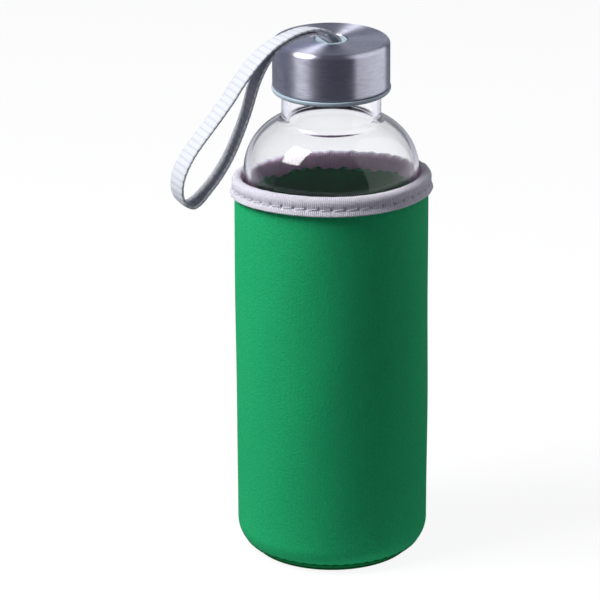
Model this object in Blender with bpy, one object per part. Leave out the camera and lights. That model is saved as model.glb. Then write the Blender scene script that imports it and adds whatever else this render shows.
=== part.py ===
"""Glass water bottle with a steel-clad screw cap, a webbing carry strap and a fitted neoprene sleeve.

Frame: origin at the centre of the sleeve's underside, +Z up the bottle's axis, -Y the front.
Lengths are in metres. Neighbouring pieces keep GAP between them.
"""

import math

import bmesh
import bpy
from mathutils import Matrix, Vector

MM = 0.001
GAP = 0.3 * MM
SEGMENTS = 36  # facets round every turned piece

# Overall heights
TOTAL_HEIGHT = 190.0 * MM

# Sleeve: neoprene tube, closed below by a round disc
SLEEVE_R = 34.3 * MM
SLEEVE_WALL = 2.9 * MM
SLEEVE_PLAY = 0.4 * MM  # between the sleeve and the glass
BASE_THICK = 3.0 * MM
HEEL_R = 9.6 * MM  # the sleeve's rounded lower edge
HEEL_SWEEP = math.radians(64)  # how far round the heel the tube's sheet reaches

# Sleeve rim: a tilted ring, highest at the front right
RIM_LOW = 134.5 * MM  # mean height of the binding's lower edge
RIM_TILT = 2.4 * MM
RIM_HIGH_AT = math.radians(-73)
RIM_WAVE = 0.28 * MM
RIM_WAVES = 3
RIM_WAVE_AT = math.radians(-7)
BINDING_SEAM = 2.3 * MM  # height of the sewn line above the binding's lower edge
BINDING_R = 35.15 * MM  # the binding's outside at the sewn line

# Glass
GLASS_R = SLEEVE_R - SLEEVE_WALL - SLEEVE_PLAY
GLASS_WALL = 2.0 * MM
GLASS_FLOOR = 4.2 * MM
PUSH_UP = 2.0 * MM  # hollow under the glass base
SHOULDER_R = 20.0 * MM  # radius of the dome
SHOULDER_Z = 142.0 * MM  # height where the dome leaves the straight wall
NECK_R = 17.4 * MM
NECK_WALL = 2.2 * MM
NECK_FILLET = 2.4 * MM
RIM_Z = 184.4 * MM  # the glass mouth

# Screw thread, shared by the glass and the cap
PITCH = 4.5 * MM
THREAD_TALL = 1.05 * MM
THREAD_BASE = 1.1 * MM  # half width at the root
THREAD_CREST = 0.35 * MM  # half width at the top
THREAD_LOW = 174.6 * MM  # centre height where the glass thread starts
THREAD_TURNS = (0.0, 1.5)
CAP_THREAD_DROP = 2.0 * MM  # the cap's thread runs this far under the glass thread
CAP_THREAD_TURNS = (0.4, 1.75)
RUN_OUT = 0.12  # turns over which a thread fades in and out
THREAD_ROWS = 16

# Cap
SHELL_R = 20.65 * MM
SHELL_SHEET = 0.4 * MM
SHELL_LOW = 173.5 * MM
SHELL_ROUND = 1.7 * MM
SHELL_HOLE = 6.0 * MM
LIP_R = 20.95 * MM
LIP_LOW = 171.4 * MM
CORE_BORE = NECK_R + THREAD_TALL + GAP
CEILING = 186.5 * MM
BOSS_R = 5.7 * MM
WELL_R = 8.0 * MM  # the pocket's outside, which hangs into the mouth
WELL_LOW = 182.9 * MM
SEAL_R = 18.3 * MM
SEAL_BORE = 13.0 * MM

# Strap
STRAP_ANGLE = math.radians(25)  # the loop hangs this far forward of straight left
STRAP_WIDE = 10.0 * MM
STRAP_NARROW = 9.0 * MM  # where it is squeezed round the bar
NARROW_UNTIL = 3.5 * MM  # distance from the bar where it starts to widen
WIDE_FROM = 9.0 * MM
STRAP_THICK = 0.95 * MM
BAR_R = 0.8 * MM
BAR_Z = 187.2 * MM
BAR_LONG = 13.8 * MM
POCKET_LONG = 9.7 * MM
POCKET_WIDE = 6.0 * MM
POCKET_CORNER = 1.2 * MM
POCKET_LOW = 184.4 * MM
FOLD_AT = 14.0 * MM  # out from the axis, where the strap's loop flexes
STRAP_STEP = 1.5 * MM

# The strap's middle line: (distance out from the axis, height, twist in degrees), in millimetres.
# It leaves the bar on its outer side, runs out over the cap, round the loop and back underneath.
STRAP_ROUTE = (
    (-1.58, 187.2, 0), (-1.6, 189.3, 0), (-1.2, 190.8, 2), (0.3, 192.0, 5), (2.5, 193.1, 9),
    (5.0, 194.1, 11), (8.0, 194.7, 11), (12.0, 194.5, 11), (16.0, 193.6, 11), (20.0, 192.1, 9),
    (24.0, 190.0, 7), (28.0, 187.0, 5), (32.0, 183.3, 3), (35.7, 179.0, 3), (39.3, 174.1, 3),
    (43.4, 169.1, 3), (47.6, 164.3, 3), (51.4, 160.0, 3), (54.8, 155.8, 2), (57.6, 151.2, 0),
    (59.2, 146.6, 0), (59.3, 142.2, 0), (57.7, 138.6, 0), (54.8, 137.0, -2), (51.6, 138.3, -5),
    (48.0, 141.6, -8), (44.3, 145.6, -9), (41.1, 150.0, -9), (38.4, 154.6, -9), (35.9, 159.8, -9),
    (33.7, 165.0, -9), (31.9, 170.2, -8), (30.4, 175.2, -7), (28.7, 179.8, -7), (26.6, 183.7, -8),
    (24.0, 187.4, -8), (20.6, 190.4, -9), (16.6, 192.1, -10), (12.4, 193.0, -11), (8.4, 193.2, -11),
    (5.4, 192.5, -8), (3.2, 191.2, -4), (1.9, 189.6, 0), (1.58, 187.2, 0),
)  # fmt: skip

# Sewing threads, each a plain ring or bar along its line of stitches
THREAD_THICK = 0.4 * MM
THREAD_WIDE = 0.5 * MM
TACK_LONG = 7.0 * MM
TACK_AT = 8.0 * MM  # out from the axis
TACK_WIDE = 1.6 * MM

OUTWARD = Vector((-math.cos(STRAP_ANGLE), -math.sin(STRAP_ANGLE), 0.0))
ACROSS = Vector((math.sin(STRAP_ANGLE), -math.cos(STRAP_ANGLE), 0.0))
UP = Vector((0.0, 0.0, 1.0))


def clear_scene():
    """Remove whatever the open file holds."""
    for item in list(bpy.data.objects):
        bpy.data.objects.remove(item, do_unlink=True)


def material(name, colour, roughness, metallic=0.0):
    """A plain finish."""
    made = bpy.data.materials.new(name)
    made.use_nodes = True
    shader = made.node_tree.nodes["Principled BSDF"]
    shader.inputs["Base Color"].default_value = (*colour, 1.0)
    shader.inputs["Roughness"].default_value = roughness
    shader.inputs["Metallic"].default_value = metallic
    return made


def add_object(name, mesh, finish, sharp=30):
    """Put a mesh in the scene as the object of that name."""
    mesh.materials.append(finish)
    mesh.shade_smooth()
    mesh.set_sharp_from_angle(angle=math.radians(sharp))
    made = bpy.data.objects.new(name, mesh)
    bpy.context.scene.collection.objects.link(made)
    return made


def object_from(name, bm, finish, sharp=30):
    """Turn a closed bmesh into an object with its faces pointing out."""
    bmesh.ops.recalc_face_normals(bm, faces=bm.faces)
    mesh = bpy.data.meshes.new(name)
    bm.to_mesh(mesh)
    bm.free()
    return add_object(name, mesh, finish, sharp)


def arc(centre, radius, start, end, steps):
    """Points on a circle in the (radius, height) plane, angles in degrees."""
    points = []
    for i in range(steps + 1):
        angle = math.radians(start + (end - start) * i / steps)
        points.append((centre[0] + radius * math.cos(angle), centre[1] + radius * math.sin(angle)))
    return points


def turned(name, outline, finish, closed=True, reshape=None):
    """Spin an outline of (radius, height) points about Z.

    An open outline starts and ends on the axis. reshape moves each point of the result.
    """
    bm = bmesh.new()
    points = [bm.verts.new((radius, 0.0, height)) for radius, height in outline]
    edges = [bm.edges.new(pair) for pair in zip(points, points[1:])]
    if closed:
        edges.append(bm.edges.new((points[-1], points[0])))
    bmesh.ops.spin(
        bm,
        geom=points + edges,
        cent=(0, 0, 0),
        axis=(0, 0, 1),
        angle=2 * math.pi,
        steps=SEGMENTS,
    )
    bmesh.ops.remove_doubles(bm, verts=bm.verts, dist=0.002 * MM)
    if reshape:
        for vertex in bm.verts:
            vertex.co = reshape(vertex.co)
    return object_from(name, bm, finish)


def within_one(value):
    """The value held between 0 and 1."""
    return min(1.0, max(0.0, value))


def thread_height(co, low, turns):
    """How far a helical ridge stands out at a point, by its angle and height."""
    share = math.atan2(co.y, co.x) / (2 * math.pi) % 1.0
    best = 0.0
    for whole in range(math.ceil(turns[1]) + 1):
        turn = share + whole
        fade = min(turn - turns[0], turns[1] - turn) / RUN_OUT
        off = abs(co.z - low - PITCH * turn)
        flank = (THREAD_BASE - off) / (THREAD_BASE - THREAD_CREST)
        best = max(best, within_one(fade) * within_one(flank))
    return THREAD_TALL * best


def pushed_out(co, distance):
    """The point moved away from the axis."""
    radius = math.hypot(co.x, co.y)
    scale = (radius + distance) / radius
    return Vector((co.x * scale, co.y * scale, co.z))


def rim_rise(angle):
    """Height of the sleeve's rim above its mean, by the angle round the axis."""
    wave = RIM_WAVE * math.cos(RIM_WAVES * (angle - RIM_WAVE_AT))
    return RIM_TILT * math.cos(angle - RIM_HIGH_AT) + wave


def lifted_with_rim(co, share=1.0):
    """The point raised as the rim rises there."""
    return co + UP * rim_rise(math.atan2(co.y, co.x)) * share


def glass_outline():
    """The vessel from the middle of its underside, up the outside and down the inside."""
    heel = (GLASS_R - HEEL_R + SLEEVE_WALL + SLEEVE_PLAY, HEEL_R)
    heel_r = HEEL_R - SLEEVE_WALL - SLEEVE_PLAY
    floor_z = heel[1] - heel_r
    dome = (GLASS_R - SHOULDER_R, SHOULDER_Z)
    fillet_x = NECK_R + NECK_FILLET
    reach = SHOULDER_R + NECK_FILLET
    fillet_z = dome[1] + math.sqrt(reach**2 - (fillet_x - dome[0]) ** 2)
    meet = math.degrees(math.atan2(fillet_z - dome[1], fillet_x - dome[0]))
    points = [(0.0, floor_z + PUSH_UP), (14.0 * MM, floor_z + 0.6 * PUSH_UP)]
    points += arc(heel, heel_r, -90, 0, 5)
    points += arc(dome, SHOULDER_R, 0, meet, 8)
    points += arc((fillet_x, fillet_z), NECK_FILLET, 180 + meet, 180, 3)[1:]
    first = THREAD_LOW - THREAD_BASE - 0.2 * MM
    last = THREAD_LOW + THREAD_TURNS[1] * PITCH + THREAD_BASE + 0.2 * MM
    for i in range(THREAD_ROWS + 1):
        points.append((NECK_R, first + (last - first) * i / THREAD_ROWS))
    points += [(NECK_R, RIM_Z - 0.6 * MM), (NECK_R - 0.7 * MM, RIM_Z)]
    bore = NECK_R - NECK_WALL
    points += [(bore + 0.7 * MM, RIM_Z), (bore, RIM_Z - 0.7 * MM)]
    inner_fillet = NECK_FILLET + NECK_WALL
    inner_dome = SHOULDER_R - GLASS_WALL
    reach = inner_dome + inner_fillet
    x = bore + inner_fillet
    z = dome[1] + math.sqrt(reach**2 - (x - dome[0]) ** 2)
    meet = math.degrees(math.atan2(z - dome[1], x - dome[0]))
    points += arc((x, z), inner_fillet, 180, 180 + meet, 3)
    points += arc(dome, inner_dome, meet, 0, 6)[1:]
    points += arc(heel, heel_r - GLASS_WALL, 0, -80, 4)
    points += [(15.0 * MM, floor_z + GLASS_FLOOR), (0.0, floor_z + GLASS_FLOOR + 0.8 * MM)]
    return points


def with_glass_thread(co):
    """Raises the thread on the outside of the neck."""
    if math.hypot(co.x, co.y) < NECK_R - 0.1 * MM or co.z < THREAD_LOW - 2 * THREAD_BASE:
        return co
    return pushed_out(co, thread_height(co, THREAD_LOW, THREAD_TURNS))


def add_glass(finish):
    """The blown glass vessel."""
    turned("glass_bottle", glass_outline(), finish, closed=False, reshape=with_glass_thread)


def core_outline():
    """The cap's plastic liner, from the middle of its top, down the outside and up the inside."""
    under_sheet = TOTAL_HEIGHT - SHELL_SHEET - GAP
    skirt = SHELL_R - SHELL_SHEET - GAP
    corner = SHELL_ROUND - SHELL_SHEET - GAP
    points = [(0.0, TOTAL_HEIGHT - 0.1 * MM), (BOSS_R, TOTAL_HEIGHT - 0.1 * MM), (BOSS_R, under_sheet)]
    points += arc((skirt - corner, under_sheet - corner), corner, 90, 0, 2)
    lip_top = SHELL_LOW - GAP
    points += [(skirt, lip_top), (LIP_R - 0.2 * MM, lip_top), (LIP_R, lip_top - 0.3 * MM)]
    points += arc((LIP_R - 1.1 * MM, LIP_LOW + 1.1 * MM), 1.1 * MM, 0, -90, 3)
    points += [(CORE_BORE + 0.3 * MM, LIP_LOW), (CORE_BORE, LIP_LOW + 0.4 * MM)]
    low = THREAD_LOW - CAP_THREAD_DROP
    first = low + CAP_THREAD_TURNS[0] * PITCH - THREAD_BASE - 0.2 * MM
    last = low + CAP_THREAD_TURNS[1] * PITCH + THREAD_BASE + 0.2 * MM
    for i in range(THREAD_ROWS):
        points.append((CORE_BORE, first + (last - first) * i / (THREAD_ROWS - 1)))
    points += [(CORE_BORE, CEILING), (WELL_R, CEILING), (WELL_R, WELL_LOW), (0.0, WELL_LOW)]
    return points


def with_cap_thread(co):
    """Raises the thread on the inside of the liner."""
    if not CORE_BORE - 0.05 * MM < math.hypot(co.x, co.y) < CORE_BORE + 0.05 * MM:
        return co
    return pushed_out(co, -thread_height(co, THREAD_LOW - CAP_THREAD_DROP, CAP_THREAD_TURNS))


def pocket(name, low, high):
    """A block with rounded corners, long along ACROSS."""
    bm = bmesh.new()
    points = []
    for across, out, start in ((1, 1, 0), (-1, 1, 90), (-1, -1, 180), (1, -1, 270)):
        centre = (across * (POCKET_LONG / 2 - POCKET_CORNER), out * (POCKET_WIDE / 2 - POCKET_CORNER))
        for x, y in arc(centre, POCKET_CORNER, start, start + 90, 3):
            points.append(bm.verts.new(ACROSS * x + OUTWARD * y + UP * low))
    face = bm.faces.new(points)
    raised = bmesh.ops.extrude_face_region(bm, geom=[face])
    top = [item for item in raised["geom"] if isinstance(item, bmesh.types.BMVert)]
    bmesh.ops.translate(bm, verts=top, vec=UP * (high - low))
    return as_cutter(name, bm)


def rod(bm, radius, long, sides):
    """A round rod along ACROSS through the bar's place."""
    turn = Matrix((ACROSS.cross(UP), UP, ACROSS)).transposed().to_4x4()
    bmesh.ops.create_cone(
        bm,
        cap_ends=True,
        segments=sides,
        radius1=radius,
        radius2=radius,
        depth=long,
        matrix=Matrix.Translation(UP * BAR_Z) @ turn,
    )


def as_cutter(name, bm):
    """A guide that cuts another piece and isn't part of the object."""
    bmesh.ops.recalc_face_normals(bm, faces=bm.faces)
    mesh = bpy.data.meshes.new(name)
    bm.to_mesh(mesh)
    bm.free()
    cutter = bpy.data.objects.new(name, mesh)
    bpy.context.scene.collection.objects.link(cutter)
    cutter.hide_render = True
    cutter.display_type = "WIRE"
    return cutter


def cut(target, cutter):
    """Take the cutter's shape out of the target."""
    tool = target.modifiers.new(cutter.name, "BOOLEAN")
    tool.operation = "DIFFERENCE"
    tool.solver = "EXACT"
    tool.object = cutter


def add_cap(plastic, steel, silicone):
    """Liner with its strap pocket, steel shell, gasket and the pocket's cross bar."""
    core = turned("cap_core", core_outline(), plastic, closed=False, reshape=with_cap_thread)
    pocket_top = TOTAL_HEIGHT + 2 * MM
    cut(core, pocket("pocket_cutter", POCKET_LOW, pocket_top))
    seat = bmesh.new()
    rod(seat, BAR_R + GAP, BAR_LONG + 2 * GAP, 16)
    cut(core, as_cutter("bar_seat_cutter", seat))

    inner = SHELL_R - SHELL_SHEET
    round_at = (SHELL_R - SHELL_ROUND, TOTAL_HEIGHT - SHELL_ROUND)
    shell = [(SHELL_R, SHELL_LOW)]
    shell += arc(round_at, SHELL_ROUND, 0, 90, 4)
    shell += [(SHELL_HOLE, TOTAL_HEIGHT), (SHELL_HOLE, TOTAL_HEIGHT - SHELL_SHEET)]
    shell += arc(round_at, SHELL_ROUND - SHELL_SHEET, 90, 0, 3)
    shell += [(inner, SHELL_LOW)]
    turned("cap_shell", shell, steel)

    low = RIM_Z + GAP
    high = CEILING - GAP
    seal = [(SEAL_BORE, low), (SEAL_R, low), (SEAL_R, high), (SEAL_BORE, high)]
    turned("cap_seal", seal, silicone)

    bar = bmesh.new()
    rod(bar, BAR_R, BAR_LONG, 12)
    object_from("strap_bar", bar, plastic)


def strap_line():
    """The closed middle line of the strap, sampled: a list of (outward, height, twist)."""
    route = [Vector((out * MM, height * MM, math.radians(twist))) for out, height, twist in STRAP_ROUTE]
    turn_r = BAR_R + GAP + STRAP_THICK / 2
    under = [
        Vector((out, height, 0.0)) for out, height in arc((0.0, BAR_Z), turn_r, 360, 180, 8)[1:-1]
    ]
    points = route + under
    line = []
    for i, point in enumerate(points):
        before, after, beyond = points[i - 1], points[(i + 1) % len(points)], points[(i + 2) % len(points)]
        steps = max(1, round((after.xy - point.xy).length / STRAP_STEP))
        for k in range(steps):
            t = k / steps
            line.append(
                0.5
                * (
                    2 * point
                    + (after - before) * t
                    + (2 * before - 5 * point + 4 * after - beyond) * t**2
                    + (3 * point - before - 3 * after + beyond) * t**3
                )
            )
    return line


def run_between(line, keep, edge):
    """The one stretch of a closed line where keep is true, ending exactly at outward = edge."""
    first = next(i for i in range(len(line)) if keep(line[i]) and not keep(line[i - 1]))
    run = []
    for k in range(len(line)):
        point = line[(first + k) % len(line)]
        if not keep(point):
            break
        run.append(point)
    before = line[first - 1]
    after = line[(first + len(run)) % len(line)]
    for outside, at_start in ((before, True), (after, False)):
        inside = run[0] if at_start else run[-1]
        share = (edge - inside.x) / (outside.x - inside.x)
        end = inside.lerp(outside, share)
        if at_start:
            run.insert(0, end)
        else:
            run.append(end)
    return run


def webbing(name, run, finish):
    """A flat band swept along a stretch of the strap's line."""
    bm = bmesh.new()
    rings = []
    for i, point in enumerate(run):
        along = run[min(i + 1, len(run) - 1)] - run[max(i - 1, 0)]
        along = (OUTWARD * along.x + UP * along.y).normalized()
        flat = ACROSS.cross(along)
        wide = ACROSS * math.cos(point.z) - flat * math.sin(point.z)
        thick = wide.cross(along)
        middle = OUTWARD * point.x + UP * point.y
        away = math.hypot(point.x, point.y - BAR_Z)
        widened = within_one((away - NARROW_UNTIL) / (WIDE_FROM - NARROW_UNTIL))
        half = (STRAP_NARROW + (STRAP_WIDE - STRAP_NARROW) * widened) / 2
        corners = ((1, 1), (-1, 1), (-1, -1), (1, -1))
        rings.append(
            [
                bm.verts.new(middle + wide * a * half + thick * b * STRAP_THICK / 2)
                for a, b in corners
            ]
        )
    for ring, following in zip(rings, rings[1:]):
        for k in range(4):
            after = (k + 1) % 4
            bm.faces.new((ring[k], ring[after], following[after], following[k]))
    bm.faces.new(rings[0])
    bm.faces.new(list(reversed(rings[-1])))
    return object_from(name, bm, finish, sharp=50)


def add_strap(finish, thread):
    """The webbing, in two stretches that meet where it flexes, and its sewn join."""
    line = strap_line()
    near = FOLD_AT - GAP / 2
    far = FOLD_AT + GAP / 2
    webbing("strap_anchor", run_between(line, lambda point: point.x < near, near), finish)
    loop = webbing("strap_loop", run_between(line, lambda point: point.x > far, far), finish)
    at_fold = [point for point in line if abs(point.x - FOLD_AT) < STRAP_STEP]
    crown = max(point.y + STRAP_WIDE / 2 * math.sin(abs(point.z)) for point in at_fold)
    hang_on_hinge(loop, OUTWARD * FOLD_AT + UP * (crown + STRAP_THICK / 2))

    at_tack = [point for point in line if abs(point.x - TACK_AT) < STRAP_STEP]
    lowest = min(at_tack, key=lambda point: point.y)
    wide = ACROSS * math.cos(lowest.z) - UP * math.sin(lowest.z)
    down = wide.cross(OUTWARD)
    place = OUTWARD * TACK_AT + UP * lowest.y + down * (STRAP_THICK / 2 + 1.5 * GAP + THREAD_THICK / 2)
    turn = Matrix((wide * TACK_LONG, OUTWARD * TACK_WIDE, -down * THREAD_THICK)).transposed()
    bm = bmesh.new()
    bmesh.ops.create_cube(bm, size=1.0, matrix=Matrix.Translation(place) @ turn.to_4x4())
    object_from("strap_bartack", bm, thread)


def hang_on_hinge(item, pivot):
    """Put an object's origin on its joint."""
    item.data.transform(Matrix.Translation(-pivot))
    item.location = pivot


def wall_outline():
    """The sleeve's tube at its mean rim height, from the heel up the outside and down the inside."""
    heel = (SLEEVE_R - HEEL_R, HEEL_R)
    sweep = -math.degrees(HEEL_SWEEP)
    points = arc(heel, HEEL_R, sweep, 0, 5)
    points += [(SLEEVE_R, 50.0 * MM), (SLEEVE_R, 92.0 * MM), (SLEEVE_R, RIM_LOW - 3.0 * MM)]
    pinch = 0.15 * MM
    points += [(SLEEVE_R - pinch, RIM_LOW), (SLEEVE_R - pinch, RIM_LOW + 3.4 * MM)]
    points += [(SLEEVE_R - 0.5 * MM, RIM_LOW + 4.6 * MM), (SLEEVE_R - 1.1 * MM, RIM_LOW + 5.1 * MM)]
    points += [(SLEEVE_R - 1.7 * MM, RIM_LOW + 4.6 * MM), (SLEEVE_R - 2.15 * MM, RIM_LOW + 3.4 * MM)]
    points += [(SLEEVE_R - 2.15 * MM, RIM_LOW - 0.5 * MM)]
    inner = SLEEVE_R - SLEEVE_WALL
    points += [(inner, RIM_LOW - 3.0 * MM), (inner, 92.0 * MM), (inner, 50.0 * MM)]
    points += arc(heel, HEEL_R - SLEEVE_WALL, 0, sweep, 4)
    return points


def wall_reshape(co):
    """The wall follows the rim's tilt only near its top."""
    start = 92.0 * MM
    return lifted_with_rim(co, within_one((co.z - start) / (RIM_LOW - 3.0 * MM - start)))


def binding_outline():
    """Knit tape folded over the rim: an outer flange and roll, and an inner leg."""
    shape = (
        (34.45, 0.0), (35.0, 0.0), (35.05, 1.6), (34.85, 2.3), (35.3, 3.5), (35.2, 4.9), (34.5, 5.9),
        (33.2, 6.4), (32.0, 6.0), (31.4, 4.8), (31.4, 0.0), (31.85, 0.0), (31.85, 4.5), (32.4, 5.5),
        (33.2, 5.8), (34.2, 5.4), (34.7, 4.5), (34.7, 3.5), (34.45, 2.3),
    )  # fmt: skip
    return [(radius * MM, RIM_LOW + height * MM) for radius, height in shape]


def add_sleeve(neoprene, tape, thread, seam_thread):
    """Tube, base disc, binding and the two sewn lines."""
    turned("sleeve_wall", wall_outline(), neoprene, reshape=wall_reshape)

    disc = [(0.0, 0.0), (28.3 * MM, 0.0), (28.6 * MM, 0.6 * MM), (27.5 * MM, BASE_THICK), (0.0, BASE_THICK)]
    turned("sleeve_base", disc, neoprene, closed=False)

    turned("sleeve_binding", binding_outline(), tape, reshape=lifted_with_rim)

    seam_z = RIM_LOW + BINDING_SEAM
    half = THREAD_WIDE / 2
    inside = BINDING_R + GAP
    outside = inside + THREAD_THICK
    ring = [(inside, seam_z - half), (outside, seam_z - half), (outside, seam_z + half), (inside, seam_z + half)]
    turned("binding_thread", ring, thread, reshape=lifted_with_rim)

    heel = (SLEEVE_R - HEEL_R, HEEL_R)
    ring = arc(heel, HEEL_R + GAP, -62, -52, 1) + arc(heel, HEEL_R + GAP + THREAD_THICK, -52, -62, 1)
    turned("base_seam_thread", ring, seam_thread)


def main():
    """Build every piece."""
    clear_scene()
    add_glass(material("clear_glass", (0.92, 0.95, 0.97), 0.03))
    plastic = material("cap_plastic", (0.42, 0.51, 0.56), 0.38)
    steel = material("brushed_steel", (0.60, 0.60, 0.66), 0.28, metallic=1.0)
    add_cap(plastic, steel, material("silicone", (0.80, 0.82, 0.82), 0.55))
    grey_thread = material("grey_thread", (0.62, 0.62, 0.67), 0.85)
    add_strap(material("strap_webbing", (0.72, 0.75, 0.82), 0.8), grey_thread)
    neoprene = material("green_neoprene", (0.02, 0.36, 0.13), 0.85)
    tape = material("grey_knit_tape", (0.52, 0.50, 0.56), 0.9)
    add_sleeve(neoprene, tape, grey_thread, material("green_thread", (0.01, 0.24, 0.09), 0.85))


main()
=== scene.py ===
"""A glass water bottle with a steel-clad screw cap, a webbing carry strap and a neoprene sleeve.

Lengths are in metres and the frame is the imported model's: the origin at the centre of the
sleeve's underside, +Z up the bottle's axis and -Y the front.
"""

from __future__ import annotations

import logging
import math
from collections.abc import Callable, Sequence
from dataclasses import dataclass, field
from enum import Enum

import bmesh
import bpy
import numpy as np
from mathutils import Matrix, Vector


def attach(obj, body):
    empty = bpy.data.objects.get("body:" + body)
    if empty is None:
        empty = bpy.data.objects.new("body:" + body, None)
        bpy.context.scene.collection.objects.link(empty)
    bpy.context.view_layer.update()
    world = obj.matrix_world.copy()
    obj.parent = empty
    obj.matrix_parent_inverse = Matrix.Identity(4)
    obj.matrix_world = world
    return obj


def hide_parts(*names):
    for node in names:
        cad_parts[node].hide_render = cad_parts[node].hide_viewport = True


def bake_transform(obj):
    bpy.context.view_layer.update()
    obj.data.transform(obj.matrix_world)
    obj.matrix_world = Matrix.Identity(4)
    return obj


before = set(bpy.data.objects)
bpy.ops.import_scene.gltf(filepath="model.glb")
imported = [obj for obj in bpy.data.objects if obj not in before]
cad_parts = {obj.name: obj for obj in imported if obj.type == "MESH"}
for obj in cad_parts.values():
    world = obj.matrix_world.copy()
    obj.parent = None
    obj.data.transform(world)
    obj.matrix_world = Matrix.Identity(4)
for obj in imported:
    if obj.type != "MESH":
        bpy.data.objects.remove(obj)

LOG = logging.getLogger("bottle")
MM = 0.001
UP = Vector((0.0, 0.0, 1.0))

Point2 = tuple[float, float]
Colour = tuple[float, float, float]
Shaper = Callable[[np.ndarray, np.ndarray, np.ndarray], tuple[np.ndarray, np.ndarray]]


# ---------------------------------------------------------------- sizes shared by the pieces


@dataclass(frozen=True)
class Strap:
    """The carry strap's route and section."""

    angle: float = math.radians(25)
    wide: float = 10.0 * MM
    narrow: float = 9.0 * MM
    narrow_until: float = 3.5 * MM
    wide_from: float = 9.0 * MM
    thick: float = 0.95 * MM
    bar_z: float = 187.2 * MM
    bar_r: float = 0.8 * MM

    @property
    def outward(self) -> Vector:
        """The direction the loop hangs in, away from the axis."""
        return Vector((-math.cos(self.angle), -math.sin(self.angle), 0.0))

    @property
    def across(self) -> Vector:
        """The direction of the webbing's width."""
        return Vector((math.sin(self.angle), -math.cos(self.angle), 0.0))


# The strap's middle line: (distance out from the axis, height, twist in degrees), in millimetres.
# It leaves the bar on its outer side, runs out over the cap, round the loop and back underneath.
STRAP_ROUTE = (
    (-1.58, 187.2, 0), (-1.6, 189.3, 0), (-1.2, 190.8, 2), (0.3, 192.0, 5), (2.5, 193.1, 9),
    (5.0, 194.1, 11), (8.0, 194.7, 11), (12.0, 194.5, 11), (16.0, 193.6, 11), (20.0, 192.1, 9),
    (24.0, 190.0, 7), (28.0, 187.0, 5), (32.0, 183.3, 3), (35.7, 179.0, 3), (39.3, 174.1, 3),
    (43.4, 169.1, 3), (47.6, 164.3, 3), (51.4, 160.0, 3), (54.8, 155.8, 2), (57.6, 151.2, 0),
    (59.2, 146.6, 0), (59.3, 142.2, 0), (57.7, 138.6, 0), (54.8, 137.0, -2), (51.6, 138.3, -5),
    (48.0, 141.6, -8), (44.3, 145.6, -9), (41.1, 150.0, -9), (38.4, 154.6, -9), (35.9, 159.8, -9),
    (33.7, 165.0, -9), (31.9, 170.2, -8), (30.4, 175.2, -7), (28.7, 179.8, -7), (26.6, 183.7, -8),
    (24.0, 187.4, -8), (20.6, 190.4, -9), (16.6, 192.1, -10), (12.4, 193.0, -11), (8.4, 193.2, -11),
    (5.4, 192.5, -8), (3.2, 191.2, -4), (1.9, 189.6, 0), (1.58, 187.2, 0),
)  # fmt: skip


@dataclass(frozen=True)
class Rim:
    """The sleeve's tilted rim: its height round the axis."""

    low: float = 134.5 * MM
    tilt: float = 2.4 * MM
    high_at: float = math.radians(-73)
    wave: float = 0.28 * MM
    waves: int = 3
    wave_at: float = math.radians(-7)

    def rise(self, angle: np.ndarray | float) -> np.ndarray | float:
        """Height above the mean, by the angle round the axis."""
        wave = self.wave * np.cos(self.waves * (angle - self.wave_at))
        return self.tilt * np.cos(angle - self.high_at) + wave


# ---------------------------------------------------------------- mesh helpers


def arc(centre: Point2, radius: float, start: float, end: float, steps: int) -> list[Point2]:
    """Points on a circle in the (radius, height) plane.

    Args:
        centre: The circle's centre.
        radius: Its radius.
        start: Angle of the first point, in degrees.
        end: Angle of the last point, in degrees.
        steps: Number of equal steps between them.

    Returns:
        The points, steps + 1 of them.
    """
    angles = np.radians(np.linspace(start, end, steps + 1))
    return [(centre[0] + radius * math.cos(a), centre[1] + radius * math.sin(a)) for a in angles]


def ramp(value: np.ndarray | float, low: float, high: float) -> np.ndarray:
    """A smooth step from 0 at low to 1 at high."""
    t = np.clip((value - low) / (high - low), 0.0, 1.0)
    return t * t * (3 - 2 * t)


def bump(value: np.ndarray | float, centre: float, width: float) -> np.ndarray:
    """A bell of height 1 about centre."""
    return np.exp(-(((value - centre) / width) ** 2))


def turn_gap(angle: np.ndarray, centre: float) -> np.ndarray:
    """The signed angle from centre to angle, between -pi and pi."""
    return (angle - centre + math.pi) % (2 * math.pi) - math.pi


def softened(points: Sequence[Point2], closed: bool, rounds: int) -> list[Point2]:
    """Round an outline by cutting its corners again and again.

    Args:
        points: The outline's corners.
        closed: Whether the last point joins the first.
        rounds: How many times the corners are cut.

    Returns:
        The rounded outline, which keeps its ends if it is open.
    """
    line = np.array(points, float)
    for _ in range(rounds):
        following = np.roll(line, -1, axis=0) if closed else line[1:]
        current = line if closed else line[:-1]
        cut = np.stack([0.75 * current + 0.25 * following, 0.25 * current + 0.75 * following], axis=1)
        cut = cut.reshape(-1, 2)
        line = cut if closed else np.concatenate([line[:1], cut, line[-1:]])
    return [tuple(point) for point in line]


def evenly(points: Sequence[Point2], step: float) -> list[Point2]:
    """The same open line with points about step apart, its corners kept.

    Args:
        points: The line.
        step: About how far apart the new points are.

    Returns:
        The points, with both ends.
    """
    line = [points[0]]
    for here, there in zip(points, points[1:]):
        count = max(1, round(math.dist(here, there) / step))
        line += [
            (here[0] + (there[0] - here[0]) * k / count, here[1] + (there[1] - here[1]) * k / count)
            for k in range(1, count + 1)
        ]
    return line


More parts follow.
